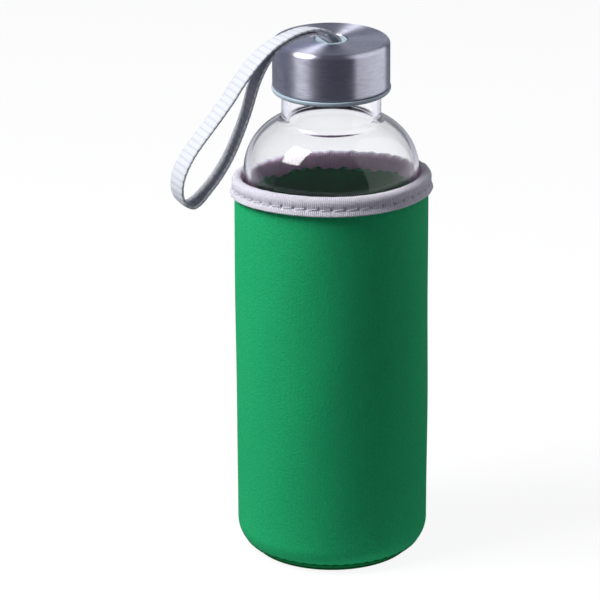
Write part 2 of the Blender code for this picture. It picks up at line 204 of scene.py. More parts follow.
def new_mesh(name: str, co: np.ndarray, faces: list, uv: np.ndarray | None = None) -> bpy.types.Object:
    """Make an object from points and faces.

    Args:
        name: The object's name.
        co: The points, one row each.
        faces: Lists of point numbers.
        uv: A place in the map for each corner of each face, in order.

    Returns:
        The object, smooth where its faces meet softly.
    """
    mesh = bpy.data.meshes.new(name)
    mesh.from_pydata(co.tolist(), [], faces)
    if uv is not None:
        layer = mesh.uv_layers.new(name="UVMap")
        layer.data.foreach_set("uv", uv.astype(np.float32).reshape(-1))
    mesh.validate()
    mesh.shade_smooth()
    mesh.set_sharp_from_angle(angle=math.radians(48))
    made = bpy.data.objects.new(name, mesh)
    bpy.context.scene.collection.objects.link(made)
    return made


def grid_object(name: str, grid: np.ndarray, wrap_rows: bool, wrap_columns: bool) -> bpy.types.Object:
    """Skin a grid of points whose rows run along the piece and whose columns go round it.

    The map's first value goes round with the columns, and its second along the rows.

    Args:
        name: The object's name.
        grid: Points, as rows by columns by 3.
        wrap_rows: Whether the last row joins the first.
        wrap_columns: Whether the last column joins the first.

    Returns:
        The object. An unwrapped row of equal points becomes one point.
    """
    rows, columns = grid.shape[:2]
    along = np.concatenate([[0.0], np.cumsum(np.linalg.norm(np.diff(grid, axis=0), axis=2).mean(axis=1))])
    if wrap_rows:
        along = np.append(along, along[-1] + np.linalg.norm(grid[0] - grid[-1], axis=1).mean())
    along /= along[-1]
    numbers = np.arange(rows * columns).reshape(rows, columns)
    for row in (0, rows - 1):
        if not wrap_rows and np.ptp(grid[row], axis=0).max() < 1e-9:
            numbers[row] = numbers[row, 0]
    faces, uv = [], []
    for i in range(rows if wrap_rows else rows - 1):
        below, above = numbers[i], numbers[(i + 1) % rows]
        for j in range(columns if wrap_columns else columns - 1):
            k = (j + 1) % columns
            corners = [below[j], below[k], above[k], above[j]]
            places = [(j, i), (j + 1, i), (j + 1, i + 1), (j, i + 1)]
            kept = [n for n in range(4) if corners[n] != corners[n - 1]]
            faces.append([int(corners[n]) for n in kept])
            uv += [(places[n][0] / columns, along[places[n][1]]) for n in kept]
    used, compact = np.unique(numbers, return_inverse=True)
    lookup = dict(zip(numbers.reshape(-1).tolist(), compact.reshape(-1).tolist()))
    faces = [[lookup[n] for n in face] for face in faces]
    return new_mesh(name, grid.reshape(-1, 3)[used], faces, np.array(uv))


def lathe(
    name: str,
    outline: Sequence[Point2],
    around: int,
    closed: bool,
    shaper: Shaper | None = None,
) -> bpy.types.Object:
    """Turn an outline about the Z axis, up the outside first.

    Args:
        name: The object's name.
        outline: Points as (radius, height).
        around: Facets round the piece.
        closed: Whether the outline is a loop. An open one starts and ends on the axis.
        shaper: Changes the radius and height at each (radius, angle, height).

    Returns:
        The object.
    """
    line = np.array(outline)
    angle = np.broadcast_to(np.arange(around) * 2 * math.pi / around, (len(line), around))
    radius = np.repeat(line[:, :1], around, axis=1)
    height = np.repeat(line[:, 1:], around, axis=1)
    if shaper:
        radius, height = shaper(radius, angle, height)
    grid = np.stack([radius * np.cos(angle), radius * np.sin(angle), height], axis=2)
    return grid_object(name, grid, wrap_rows=closed, wrap_columns=True)


def helix_ridge(angle: np.ndarray, height: np.ndarray, low: float, turns: Point2) -> np.ndarray:
    """How far a screw thread stands out, from 0 to 1.

    Args:
        angle: Angles round the axis.
        height: Heights along it.
        low: Height of the thread's centre at angle 0 of its first turn.
        turns: Where it starts and ends, in turns.

    Returns:
        The share of the thread's full height at each place.
    """
    pitch, root, crest, fade = 4.5 * MM, 1.1 * MM, 0.3 * MM, 0.12
    best = np.zeros_like(height)
    for whole in range(math.ceil(turns[1]) + 1):
        turn = angle / (2 * math.pi) % 1.0 + whole
        ends = ramp(np.minimum(turn - turns[0], turns[1] - turn), 0.0, fade)
        flank = ramp(root - np.abs(height - low - pitch * turn), 0.0, root - crest)
        best = np.maximum(best, ends * flank)
    return best


# ---------------------------------------------------------------- geometry nodes


class NodeBuilder:
    """A node tree under construction."""

    def __init__(self, tree: bpy.types.NodeTree) -> None:
        """Work on that tree."""
        self.tree = tree

    def node(self, kind: str, inputs: dict | None = None, **settings: object) -> bpy.types.Node:
        """Add a node, set its properties, and give its inputs values or links.

        Args:
            kind: The node's type.
            inputs: Values or sockets, by input name or number.
            settings: The node's own properties.

        Returns:
            The new node.
        """
        made = self.tree.nodes.new(kind)
        for key, value in settings.items():
            setattr(made, key, value)
        for key, value in (inputs or {}).items():
            if isinstance(value, bpy.types.NodeSocket):
                self.tree.links.new(value, made.inputs[key])
            else:
                made.inputs[key].default_value = value
        return made


class GeometryTree(NodeBuilder):
    """A geometry node tree under construction."""

    def __init__(self, name: str) -> None:
        """Start a tree that takes and gives one geometry.

        Args:
            name: The tree's name.
        """
        super().__init__(bpy.data.node_groups.new(name, "GeometryNodeTree"))
        self.tree.interface.new_socket("Geometry", in_out="INPUT", socket_type="NodeSocketGeometry")
        self.tree.interface.new_socket("Geometry", in_out="OUTPUT", socket_type="NodeSocketGeometry")
        self.source = self.tree.nodes.new("NodeGroupInput")
        self.target = self.tree.nodes.new("NodeGroupOutput")

    def option(self, name: str, kind: str) -> bpy.types.NodeSocket:
        """Add a named input and return the socket that reads it."""
        self.tree.interface.new_socket(name, in_out="INPUT", socket_type=f"NodeSocket{kind}")
        return self.source.outputs[name]

    def finish(self, geometry: bpy.types.NodeSocket, material: bpy.types.NodeSocket) -> bpy.types.NodeTree:
        """Realise, give the material, and close the tree.

        Args:
            geometry: The socket that carries the geometry.
            material: The socket that carries the material.

        Returns:
            The finished tree.
        """
        real = self.node("GeometryNodeRealizeInstances", {0: geometry})
        dressed = self.node("GeometryNodeSetMaterial", {"Geometry": real.outputs[0], "Material": material})
        self.tree.links.new(dressed.outputs[0], self.target.inputs[0])
        return self.tree


def bake_tree(host: bpy.types.Object, tree: bpy.types.NodeTree, values: dict[str, object]) -> bpy.types.Object:
    """Run a geometry node tree on an object and keep the result as its plain mesh.

    Args:
        host: The object that goes in.
        tree: The tree.
        values: The tree's inputs, by name.

    Returns:
        The same object, with the resulting mesh and no modifier.
    """
    modifier = host.modifiers.new(tree.name, "NODES")
    modifier.node_group = tree
    for item in tree.interface.items_tree:
        if item.in_out == "INPUT" and item.name in values:
            modifier[item.identifier] = values[item.name]
    host.update_tag()
    bpy.context.view_layer.update()
    graph = bpy.context.evaluated_depsgraph_get()
    mesh = bpy.data.meshes.new_from_object(host.evaluated_get(graph))
    host.modifiers.remove(modifier)
    host.data = mesh
    mesh.name = host.name
    return host


def stitch_row_tree() -> bpy.types.NodeTree:
    """A row of stitches along a line of edges.

    The line's points carry a vector named "face_up", which each stitch turns its upper side to.

    Returns:
        A tree with the inputs Stitch, Count, Wander, Seed, Turn and Material.
    """
    build = GeometryTree("stitch_row")
    stitch = build.option("Stitch", "Object")
    count = build.option("Count", "Int")
    wander = build.option("Wander", "Float")
    seed = build.option("Seed", "Int")
    turn = build.option("Turn", "Float")
    material = build.option("Material", "Material")
    curve = build.node("GeometryNodeMeshToCurve", {0: build.source.outputs["Geometry"]})
    spaced = build.node("GeometryNodeResampleCurve", {"Curve": curve.outputs[0], "Count": count})
    facing = build.node("GeometryNodeInputNamedAttribute", {"Name": "face_up"}, data_type="FLOAT_VECTOR")
    tangent = build.node("GeometryNodeInputTangent")
    upright = build.node("FunctionNodeAlignRotationToVector", {"Vector": facing.outputs[0]}, axis="Z")
    along = build.node(
        "FunctionNodeAlignRotationToVector",
        {"Rotation": upright.outputs[0], "Vector": tangent.outputs[0]},
        axis="X",
        pivot_axis="Z",
    )
    low = build.node("ShaderNodeMath", {0: turn, 1: wander}, operation="SUBTRACT")
    high = build.node("ShaderNodeMath", {0: turn, 1: wander}, operation="ADD")
    loose = build.node("FunctionNodeRandomValue", {"Seed": seed}, data_type="FLOAT")
    build.tree.links.new(low.outputs[0], loose.inputs[2])
    build.tree.links.new(high.outputs[0], loose.inputs[3])
    spin = build.node("ShaderNodeCombineXYZ", {"Z": loose.outputs[1]})
    as_turn = build.node("FunctionNodeEulerToRotation", {0: spin.outputs[0]})
    turned = build.node(
        "FunctionNodeRotateRotation",
        {"Rotation": along.outputs[0], "Rotate By": as_turn.outputs[0]},
        rotation_space="LOCAL",
    )
    thing = build.node("GeometryNodeObjectInfo", {"Object": stitch}, transform_space="ORIGINAL")
    placed = build.node(
        "GeometryNodeInstanceOnPoints",
        {
            "Points": spaced.outputs[0],
            "Instance": thing.outputs["Geometry"],
            "Rotation": turned.outputs[0],
        },
    )
    return build.finish(placed.outputs[0], material)


def rib_relief_tree() -> bpy.types.NodeTree:
    """Ribs woven across a band.

    The band's points carry "along", their distance along it, and "edge", 1 at its two edges.

    Returns:
        A tree with the inputs Pitch, Depth, Edge Depth and Material.
    """
    build = GeometryTree("rib_relief")
    pitch = build.option("Pitch", "Float")
    depth = build.option("Depth", "Float")
    edge_depth = build.option("Edge Depth", "Float")
    material = build.option("Material", "Material")
    along = build.node("GeometryNodeInputNamedAttribute", {"Name": "along"}, data_type="FLOAT")
    edge = build.node("GeometryNodeInputNamedAttribute", {"Name": "edge"}, data_type="FLOAT")
    count = build.node("ShaderNodeMath", {0: along.outputs[0], 1: pitch}, operation="DIVIDE")
    phase = build.node("ShaderNodeMath", {0: count.outputs[0], 1: math.pi}, operation="MULTIPLY")
    wave = build.node("ShaderNodeMath", {0: phase.outputs[0]}, operation="SINE")
    rib = build.node("ShaderNodeMath", {0: wave.outputs[0]}, operation="ABSOLUTE")
    full = build.node("ShaderNodeMath", {0: rib.outputs[0], 1: 0.55}, operation="POWER")
    groove = build.node("ShaderNodeMath", {0: full.outputs[0], 1: 1.0}, operation="SUBTRACT")
    reach = build.node("ShaderNodeMix", {0: edge.outputs[0], 2: depth, 3: edge_depth}, data_type="FLOAT")
    sunk = build.node("ShaderNodeMath", {0: groove.outputs[0], 1: reach.outputs[0]}, operation="MULTIPLY")
    normal = build.node("GeometryNodeInputNormal")
    offset = build.node("ShaderNodeVectorMath", {0: normal.outputs[0]}, operation="SCALE")
    build.tree.links.new(sunk.outputs[0], offset.inputs["Scale"])
    moved = build.node(
        "GeometryNodeSetPosition",
        {"Geometry": build.source.outputs["Geometry"], "Offset": offset.outputs[0]},
    )
    return build.finish(moved.outputs[0], material)


def thread_stitch(name: str, long: float, thick: float, rise: float, plies: int = 2) -> bpy.types.Object:
    """One stitch of twisted thread along X, its ends dipping under the cloth.

    Args:
        name: The object's name.
        long: Length from needle hole to needle hole.
        thick: The thread's thickness.
        rise: How far its middle stands over its ends.
        plies: Lobes in its section.

    Returns:
        The object, at the origin with its upper side up.
    """
    rings, sides = 9, 8
    grid = np.zeros((rings, sides, 3))
    for i in range(rings):
        t = i / (rings - 1)
        x = (t - 0.5) * long
        lift = rise * (1 - (2 * t - 1) ** 4)
        swell = thick / 2 * (1.0 if 0 < i < rings - 1 else 0.0)
        for j in range(sides):
            a = 2 * math.pi * j / sides
            lobes = 1 + 0.16 * math.cos(plies * (a - 5.0 * t))
            grid[i, j] = (x, -swell * lobes * math.cos(a), lift + swell * lobes * math.sin(a))
    return grid_object(name, grid, wrap_rows=False, wrap_columns=True)


def seam_line(name: str, points: np.ndarray, face_up: np.ndarray, closed: bool) -> bpy.types.Object:
    """A line of edges for a row of stitches.

    Args:
        name: The object's name.
        points: The line's points.
        face_up: The direction out of the cloth at each point.
        closed: Whether it is a loop.

    Returns:
        The object.
    """
    mesh = bpy.data.meshes.new(name)
    edges = [(i, i + 1) for i in range(len(points) - 1)]
    if closed:
        edges.append((len(points) - 1, 0))
    mesh.from_pydata(points.tolist(), edges, [])
    attribute = mesh.attributes.new("face_up", "FLOAT_VECTOR", "POINT")
    attribute.data.foreach_set("vector", face_up.astype(np.float32).reshape(-1))
    made = bpy.data.objects.new(name, mesh)
    bpy.context.scene.collection.objects.link(made)
    return made


def sewn_row(
    host: bpy.types.Object,
    stitch: bpy.types.Object,
    count: int,
    wander: float,
    seed: int,
    turn: float,
    material: bpy.types.Material,
) -> bpy.types.Object:
    """Repeat a stitch along a line, then remove the loose stitch.

    Args:
        host: The line from seam_line.
        stitch: The stitch from thread_stitch.
        count: How many stitches.
        wander: How far each may turn from the row's own turn, in radians.
        seed: Fixes what is random.
        turn: How far every stitch turns in the cloth's plane, in radians.
        material: The thread's material.

    Returns:
        The line's object, now the row of stitches.
    """
    values = {
        "Stitch": stitch,
        "Count": count,
        "Wander": wander,
        "Seed": seed,
        "Turn": turn,
        "Material": material,
    }
    made = bake_tree(host, stitch_row_tree(), values)
    bpy.data.objects.remove(stitch, do_unlink=True)
    return made


# ---------------------------------------------------------------- shader nodes


class ShaderTree(NodeBuilder):
    """A shader tree or group under construction."""

    def math(self, operation: str, *values: object) -> bpy.types.NodeSocket:
        """One arithmetic step on numbers or sockets."""
        return self.node("ShaderNodeMath", dict(enumerate(values)), operation=operation).outputs[0]

    def mix(self, share: object, first: object, second: object) -> bpy.types.NodeSocket:
        """Blend two colours by a share."""
        made = self.node("ShaderNodeMix", {0: share, 6: first, 7: second}, data_type="RGBA")
        return made.outputs[2]

    def between(self, value: object, low: object, high: object) -> bpy.types.NodeSocket:
        """Turn a value from 0 to 1 into one from low to high."""
        return self.node("ShaderNodeMapRange", {0: value, 3: low, 4: high}).outputs[0]

    def noise(self, place: object, scale: object, detail: float = 3.0) -> bpy.types.NodeSocket:
        """Smooth noise between 0 and 1."""
        made = self.node("ShaderNodeTexNoise", {"Vector": place, "Scale": scale, "Detail": detail})
        return made.outputs[0]


def shader_group(name: str, inputs: dict[str, tuple[str, object]], outputs: dict[str, str]) -> ShaderTree:
    """Start a shared effect with named inputs and outputs.

    Args:
        name: The group's name.
        inputs: The type and first value of each input, by its name.
        outputs: The type of each output, by its name.

    Returns:
        The group, ready for nodes.
    """
    tree = bpy.data.node_groups.new(name, "ShaderNodeTree")
    for label, (kind, value) in inputs.items():
        socket = tree.interface.new_socket(label, in_out="INPUT", socket_type=f"NodeSocket{kind}")
        if value is not None:
            socket.default_value = value
    for label, kind in outputs.items():
        tree.interface.new_socket(label, in_out="OUTPUT", socket_type=f"NodeSocket{kind}")
    tree.nodes.new("NodeGroupInput")
    tree.nodes.new("NodeGroupOutput")
    return ShaderTree(tree)


class Effects:
    """The shared shader groups."""

    def __init__(self) -> None:
        """Build every group once."""
        self.knit = self._knit()
        self.weave = self._weave()
        self.brushing = self._brushing()
        self.handling = self._handling()
        self.mottle = self._mottle()

    @staticmethod
    def _ends(build: ShaderTree) -> tuple[dict, bpy.types.Node]:
        """A group's input sockets by name, and its output node.

        Args:
            build: The group under construction.

        Returns:
            The sockets by name, and the output node.
        """
        source = next(n for n in build.tree.nodes if n.type == "GROUP_INPUT")
        target = next(n for n in build.tree.nodes if n.type == "GROUP_OUTPUT")
        return {s.name: s for s in source.outputs if s.name}, target

    def _knit(self) -> bpy.types.NodeTree:
        """Columns of tiny V-shaped loops, counted along the map's two directions.

        Returns:
            The finished group.
        """
        sizes = {
            "Vector": ("Vector", None),
            "Columns": ("Float", 400.0),
            "Rows": ("Float", 300.0),
            "Slant": ("Float", 0.6),
        }
        build = shader_group("knit_loops", sizes, {"Height": "Float", "Shade": "Float"})
        read, target = self._ends(build)
        split = build.node("ShaderNodeSeparateXYZ", {0: read["Vector"]})
        column = build.math("MULTIPLY", split.outputs[0], read["Columns"])
        rib = build.math("ABSOLUTE", build.math("SINE", build.math("MULTIPLY", column, math.pi)))
        row = build.math("MULTIPLY", split.outputs[1], read["Rows"])
        lean = build.math("MULTIPLY", build.math("PINGPONG", column, 0.5), read["Slant"])
        loop = build.math("SINE", build.math("MULTIPLY", build.math("ADD", row, lean), 2 * math.pi))
        softened_loop = build.between(loop, 0.72, 1.0)
        height = build.math("MULTIPLY", build.math("POWER", rib, 0.6), softened_loop)
        grain = build.noise(read["Vector"], 900.0, 2.0)
        # Painted shade: the valleys between the loops are darker, mixed with a quarter of random grain tone.
        shade = build.math("ADD", build.math("MULTIPLY", height, 0.75), build.math("MULTIPLY", grain, 0.25))
        build.tree.links.new(height, target.inputs["Height"])
        build.tree.links.new(shade, target.inputs["Shade"])
        return build.tree

    def _weave(self) -> bpy.types.NodeTree:
        """Warp ends along a band and the picks that cross them.

        Returns:
            The finished group.
        """
        sizes = {
            "Vector": ("Vector", None),
            "Warps": ("Float", 30.0),
            "Picks": ("Float", 300.0),
            "Ribs": ("Float", 80.0),
        }
        build = shader_group("ribbed_weave", sizes, {"Height": "Float", "Groove": "Float"})
        read, target = self._ends(build)
        split = build.node("ShaderNodeSeparateXYZ", {0: read["Vector"]})
        warp = build.math("MULTIPLY", split.outputs[0], read["Warps"])
        end = build.math("ABSOLUTE", build.math("SINE", build.math("MULTIPLY", warp, math.pi)))
        pick = build.math("MULTIPLY", split.outputs[1], read["Picks"])
        shift = build.math("MULTIPLY", build.math("FLOOR", warp), 0.5)
        over = build.math("SINE", build.math("MULTIPLY", build.math("ADD", pick, shift), 2 * math.pi))
        height = build.math("MULTIPLY", end, build.between(over, 0.55, 1.0))
        rib = build.math("MULTIPLY", split.outputs[1], read["Ribs"])
        crest = build.math("ABSOLUTE", build.math("SINE", build.math("MULTIPLY", rib, math.pi)))
        # Painted shade: 1 in the grooves between the ribs and 0 on their crests, for darkening the colour.
        groove = build.math("POWER", build.math("SUBTRACT", 1.0, crest), 2.2)
        build.tree.links.new(height, target.inputs["Height"])
        build.tree.links.new(groove, target.inputs["Groove"])
        return build.tree

    def _brushing(self) -> bpy.types.NodeTree:
        """Fine scratches that run round a turned piece.

        Returns:
            The finished group.
        """
        sizes = {"Vector": ("Vector", None), "Lines": ("Float", 900.0), "Runs": ("Float", 6.0)}
        build = shader_group("turned_brushing", sizes, {"Height": "Float", "Mask": "Float"})
        read, target = self._ends(build)
        split = build.node("ShaderNodeSeparateXYZ", {0: read["Vector"]})
        turn = build.math("MULTIPLY", split.outputs[0], 2 * math.pi)
        x = build.math("MULTIPLY", build.math("COSINE", turn), read["Runs"])
        y = build.math("MULTIPLY", build.math("SINE", turn), read["Runs"])
        fine = build.math("MULTIPLY", split.outputs[1], read["Lines"])
        coarse = build.math("MULTIPLY", fine, 0.12)
        at_fine = build.node("ShaderNodeCombineXYZ", {0: x, 1: y, 2: fine}).outputs[0]
        at_coarse = build.node("ShaderNodeCombineXYZ", {0: x, 1: y, 2: coarse}).outputs[0]
        lines = build.noise(at_fine, 1.0, 4.0)
        bands = build.noise(at_coarse, 1.0, 2.0)
        both = build.math("ADD", build.math("MULTIPLY", lines, 0.7), build.math("MULTIPLY", bands, 0.3))
        build.tree.links.new(lines, target.inputs["Height"])
        build.tree.links.new(both, target.inputs["Mask"])
        return build.tree

    def _handling(self) -> bpy.types.NodeTree:
        """Faint smears and dust left by hands and shelves.

        Returns:
            The finished group.
        """
        sizes = {"Vector": ("Vector", None), "Size": ("Float", 60.0), "Amount": ("Float", 0.5)}
        build = shader_group("handling_marks", sizes, {"Mask": "Float", "Height": "Float"})
        read, target = self._ends(build)
        cloud = build.noise(read["Vector"], read["Size"], 4.0)
        speck = build.noise(read["Vector"], build.math("MULTIPLY", read["Size"], 22.0), 2.0)
        smear = build.node("ShaderNodeMapRange", {0: cloud, 1: 0.48, 2: 0.72, 3: 0.0, 4: 1.0}).outputs[0]
        dust = build.node("ShaderNodeMapRange", {0: speck, 1: 0.68, 2: 0.76, 3: 0.0, 4: 0.6}).outputs[0]
        mask = build.math("MULTIPLY", build.math("MAXIMUM", smear, dust), read["Amount"])
        build.tree.links.new(mask, target.inputs["Mask"])
        build.tree.links.new(speck, target.inputs["Height"])
        return build.tree

    def _mottle(self) -> bpy.types.NodeTree:
        """Soft unevenness of a dyed or moulded surface.

        Returns:
            The finished group.
        """
        sizes = {"Vector": ("Vector", None), "Size": ("Float", 80.0), "Grain": ("Float", 1500.0)}
        build = shader_group("mottle", sizes, {"Mask": "Float", "Height": "Float"})
        read, target = self._ends(build)
        wide = build.noise(read["Vector"], read["Size"], 3.0)
        fine = build.noise(read["Vector"], read["Grain"], 2.0)
        mask = build.math("ADD", build.math("MULTIPLY", wide, 0.6), build.math("MULTIPLY", fine, 0.4))
        build.tree.links.new(mask, target.inputs["Mask"])
        build.tree.links.new(fine, target.inputs["Height"])
        return build.tree


class MapKind(Enum):
    """What a finish reads its pattern from."""

    PLACE = "Object"
    CLOTH = "UV"


@dataclass(frozen=True)
class Finish:
    """What every finish shares: a name, a colour and how rough it is."""

    name: str
    colour: Colour
    roughness: float

    def start(self) -> tuple[bpy.types.Material, ShaderTree, bpy.types.Node]:
        """Make the material and return it with its tree and its shader.

        Returns:
            The material, its tree and its Principled shader.
        """
        made = bpy.data.materials.new(self.name)
        made.use_nodes = True
        build = ShaderTree(made.node_tree)
        shader = made.node_tree.nodes["Principled BSDF"]
        shader.inputs["Base Color"].default_value = (*self.colour, 1.0)
        shader.inputs["Roughness"].default_value = self.roughness
        return made, build, shader

    @staticmethod
    def where(build: ShaderTree, kind: MapKind) -> bpy.types.NodeSocket:
        """The coordinates that a pattern reads."""
        return build.node("ShaderNodeTexCoord").outputs[kind.value]

    @staticmethod
    def group(build: ShaderTree, tree: bpy.types.NodeTree, inputs: dict) -> bpy.types.Node:
        """Place a shared effect with this material's values."""
        return build.node("ShaderNodeGroup", inputs, node_tree=tree)

    @staticmethod
    def relief(
        build: ShaderTree, shader: bpy.types.Node, layers: Sequence[tuple[bpy.types.NodeSocket, float, float]]
    ) -> None:
        """Join one bump after another to the shader's normal.

        Args:
            build: The material's tree.
            shader: Its shader.
            layers: (height, how deep it is in metres, how strong it shows), each.
        """
        under = None
        for height, deep, strength in layers:
            made = build.node("ShaderNodeBump", {"Height": height, "Distance": deep, "Strength": strength})
            if under:
                build.tree.links.new(under.outputs[0], made.inputs["Normal"])
            under = made
        build.tree.links.new(under.outputs[0], shader.inputs["Normal"])

    def shades(self, build: ShaderTree, share: object, darkest: float, lightest: float) -> bpy.types.NodeSocket:
        """The finish's colour from darker to lighter, by a share.

        Args:
            build: The tree to add nodes to.
            share: The socket from 0, darkest, to 1, lightest.
            darkest: The factor on the colour at 0.
            lightest: The factor on the colour at 1.

        Returns:
            The socket with the colour.
        """
        low = (*(min(1.0, c * darkest) for c in self.colour), 1.0)
        high = (*(min(1.0, c * lightest) for c in self.colour), 1.0)
        return build.mix(share, low, high)


@dataclass(frozen=True)
class ClearGlass(Finish):
    """Blown soda-lime glass: clear, faintly uneven, with a few smears."""

    index: float = 1.5

    def make(self, effects: Effects) -> bpy.types.Material:
        """Build the material.

        Args:
            effects: The shared effects that it may place.

        Returns:
            The finished material.
        """
        made, build, shader = self.start()
        shader.inputs["Transmission Weight"].default_value = 1.0
        shader.inputs["IOR"].default_value = self.index
        place = self.where(build, MapKind.PLACE)
        marks = self.group(build, effects.handling, {"Vector": place, "Size": 70.0, "Amount": 0.5})
        rough = build.between(marks.outputs["Mask"], self.roughness, self.roughness + 0.035)
        build.tree.links.new(rough, shader.inputs["Roughness"])
        ripple = build.noise(place, 45.0, 1.0)
        self.relief(build, shader, [(ripple, 0.25 * MM, 0.35)])
        return made


@dataclass(frozen=True)
class BrushedSteel(Finish):
    """Stainless sheet brushed round the piece."""

    streak: float = 0.92
    lines: float = 420.0

    def make(self, effects: Effects) -> bpy.types.Material:
        """Build the material.

        Args:
            effects: The shared effects that it may place.

        Returns:
            The finished material.
        """
        made, build, shader = self.start()
        shader.inputs["Metallic"].default_value = 1.0
        shader.inputs["Anisotropic"].default_value = self.streak
        shader.inputs["Anisotropic Rotation"].default_value = 0.25
        tangent = build.node("ShaderNodeTangent", direction_type="RADIAL", axis="Z")
        build.tree.links.new(tangent.outputs[0], shader.inputs["Tangent"])
        cloth = self.where(build, MapKind.CLOTH)
        place = self.where(build, MapKind.PLACE)
        brushed = self.group(build, effects.brushing, {"Vector": cloth, "Lines": self.lines, "Runs": 5.0})
        marks = self.group(build, effects.handling, {"Vector": place, "Size": 130.0, "Amount": 0.35})
        streaks = build.node("ShaderNodeMapRange", {0: brushed.outputs["Mask"], 1: 0.35, 2: 0.65, 3: 0.0, 4: 1.0})
        colour = self.shades(build, streaks.outputs[0], 0.80, 1.16)
        dulled = build.mix(build.math("MULTIPLY", marks.outputs["Mask"], 0.25), colour, (0.42, 0.42, 0.45, 1.0))
        build.tree.links.new(dulled, shader.inputs["Base Color"])
        rough = build.between(brushed.outputs["Mask"], self.roughness - 0.05, self.roughness + 0.05)
        worn = build.math("ADD", rough, build.math("MULTIPLY", marks.outputs["Mask"], 0.12))
        build.tree.links.new(worn, shader.inputs["Roughness"])
        self.relief(build, shader, [(brushed.outputs["Height"], 0.03 * MM, 0.35)])
        return made


@dataclass(frozen=True)
class MouldedPlastic(Finish):
    """Satin moulded plastic with a fine grain."""

    grain: float = 2600.0

    def make(self, effects: Effects) -> bpy.types.Material:
        """Build the material.

        Args:
            effects: The shared effects that it may place.

        Returns:
            The finished material.
        """
        made, build, shader = self.start()
        shader.inputs["Subsurface Weight"].default_value = 0.12
        shader.inputs["Subsurface Radius"].default_value = (0.0012, 0.0012, 0.0012)
        place = self.where(build, MapKind.PLACE)
        tone = self.group(build, effects.mottle, {"Vector": place, "Size": 160.0, "Grain": self.grain})
        marks = self.group(build, effects.handling, {"Vector": place, "Size": 210.0, "Amount": 0.6})
        colour = self.shades(build, tone.outputs["Mask"], 0.93, 1.06)
        build.tree.links.new(colour, shader.inputs["Base Color"])
        rough = build.between(marks.outputs["Mask"], self.roughness, self.roughness + 0.2)
        build.tree.links.new(rough, shader.inputs["Roughness"])
        self.relief(build, shader, [(tone.outputs["Height"], 0.02 * MM, 0.3)])
        return made


@dataclass(frozen=True)
class KnitFace(Finish):
    """Knitted cloth: columns of fine loops with a soft nap, painted shade between the loops and on its inside."""

    columns: float = 420.0
    rows: float = 300.0
    deep: float = 0.05 * MM
    darkest: float = 0.72
    nap: float = 0.15
    grain: float = 0.06 * MM
    # Painted shade: within this radius of the axis the colour is multiplied by the factors below, darker like a
    # shaded inside.
    painted_shade_radius: float = 0.0
    inside_painted_shade: Colour = (1.0, 0.74, 0.88)

    def make(self, effects: Effects) -> bpy.types.Material:
        """Build the material.

        Args:
            effects: The shared effects that it may place.

        Returns:
            The finished material.
        """
        made, build, shader = self.start()
        shader.inputs["Sheen Weight"].default_value = self.nap
        shader.inputs["Sheen Roughness"].default_value = 0.5
        shader.inputs["Specular IOR Level"].default_value = 0.06
        cloth = self.where(build, MapKind.CLOTH)
        place = self.where(build, MapKind.PLACE)
        sizes = {"Vector": cloth, "Columns": self.columns, "Rows": self.rows}
        loops = self.group(build, effects.knit, sizes)
        tone = self.group(build, effects.mottle, {"Vector": place, "Size": 55.0, "Grain": 1300.0})
        # Painted shade: the colour falls to darkest in the valleys between the loops.
        colour = self.shades(build, loops.outputs["Shade"], self.darkest, 1.12)
        spread = {0: tone.outputs["Height"], 1: 0.36, 2: 0.64, 3: 0.93, 4: 1.07}
        uneven = build.node("ShaderNodeMapRange", spread).outputs[0]
        toned = build.node("ShaderNodeVectorMath", {0: colour}, operation="SCALE")
        build.tree.links.new(uneven, toned.inputs["Scale"])
        flat = build.node("ShaderNodeVectorMath", {0: place, 1: (1.0, 1.0, 0.0)}, operation="MULTIPLY")
        # Painted shade: within that radius the colour is darkened and tinted, as on the shaded inside.
        reach = build.node("ShaderNodeVectorMath", {0: flat.outputs[0]}, operation="LENGTH").outputs["Value"]
        inner = build.math("LESS_THAN", reach, self.painted_shade_radius)
        inside_shade = build.mix(inner, (1.0, 1.0, 1.0, 1.0), (*self.inside_painted_shade, 1.0))
        faced = build.node("ShaderNodeVectorMath", {0: toned.outputs[0], 1: inside_shade}, operation="MULTIPLY")
        build.tree.links.new(faced.outputs[0], shader.inputs["Base Color"])
        rough = build.between(loops.outputs["Height"], min(1.0, self.roughness + 0.08), self.roughness - 0.05)
        build.tree.links.new(rough, shader.inputs["Roughness"])
        layers = [(loops.outputs["Height"], self.deep, 0.7), (tone.outputs["Height"], self.grain, 0.55)]
        self.relief(build, shader, layers)
        return made


@dataclass(frozen=True)
class RibbedWebbing(Finish):
    """Woven strap webbing with cross ribs, and painted shade in the grooves between them."""

    warps: float = 60.0
    picks: float = 480.0
    ribs: float = 80.0
    # Painted shade: a bluish dark that is mixed into the grooves between the ribs.
    groove: Colour = (0.30, 0.36, 0.52)

    def make(self, effects: Effects) -> bpy.types.Material:
        """Build the material.

        Args:
            effects: The shared effects that it may place.

        Returns:
            The finished material.
        """
        made, build, shader = self.start()
        shader.inputs["Sheen Weight"].default_value = 0.12
        shader.inputs["Specular IOR Level"].default_value = 0.12
        cloth = self.where(build, MapKind.CLOTH)
        place = self.where(build, MapKind.PLACE)
        sizes = {"Vector": cloth, "Warps": self.warps, "Picks": self.picks, "Ribs": self.ribs}
        woven = self.group(build, effects.weave, sizes)
        tone = self.group(build, effects.mottle, {"Vector": place, "Size": 120.0, "Grain": 2200.0})
        base = self.shades(build, tone.outputs["Mask"], 0.9, 1.06)
        # Painted shade: the grooves take up to 42 % of the bluish dark colour.
        share = build.math("MULTIPLY", woven.outputs["Groove"], 0.42)
        colour = build.mix(share, base, (*self.groove, 1.0))
        build.tree.links.new(colour, shader.inputs["Base Color"])
        rough = build.between(woven.outputs["Height"], self.roughness + 0.12, self.roughness - 0.05)
        build.tree.links.new(rough, shader.inputs["Roughness"])
        layers = [(woven.outputs["Height"], 0.07 * MM, 0.6), (tone.outputs["Height"], 0.04 * MM, 0.3)]
        self.relief(build, shader, layers)
        return made


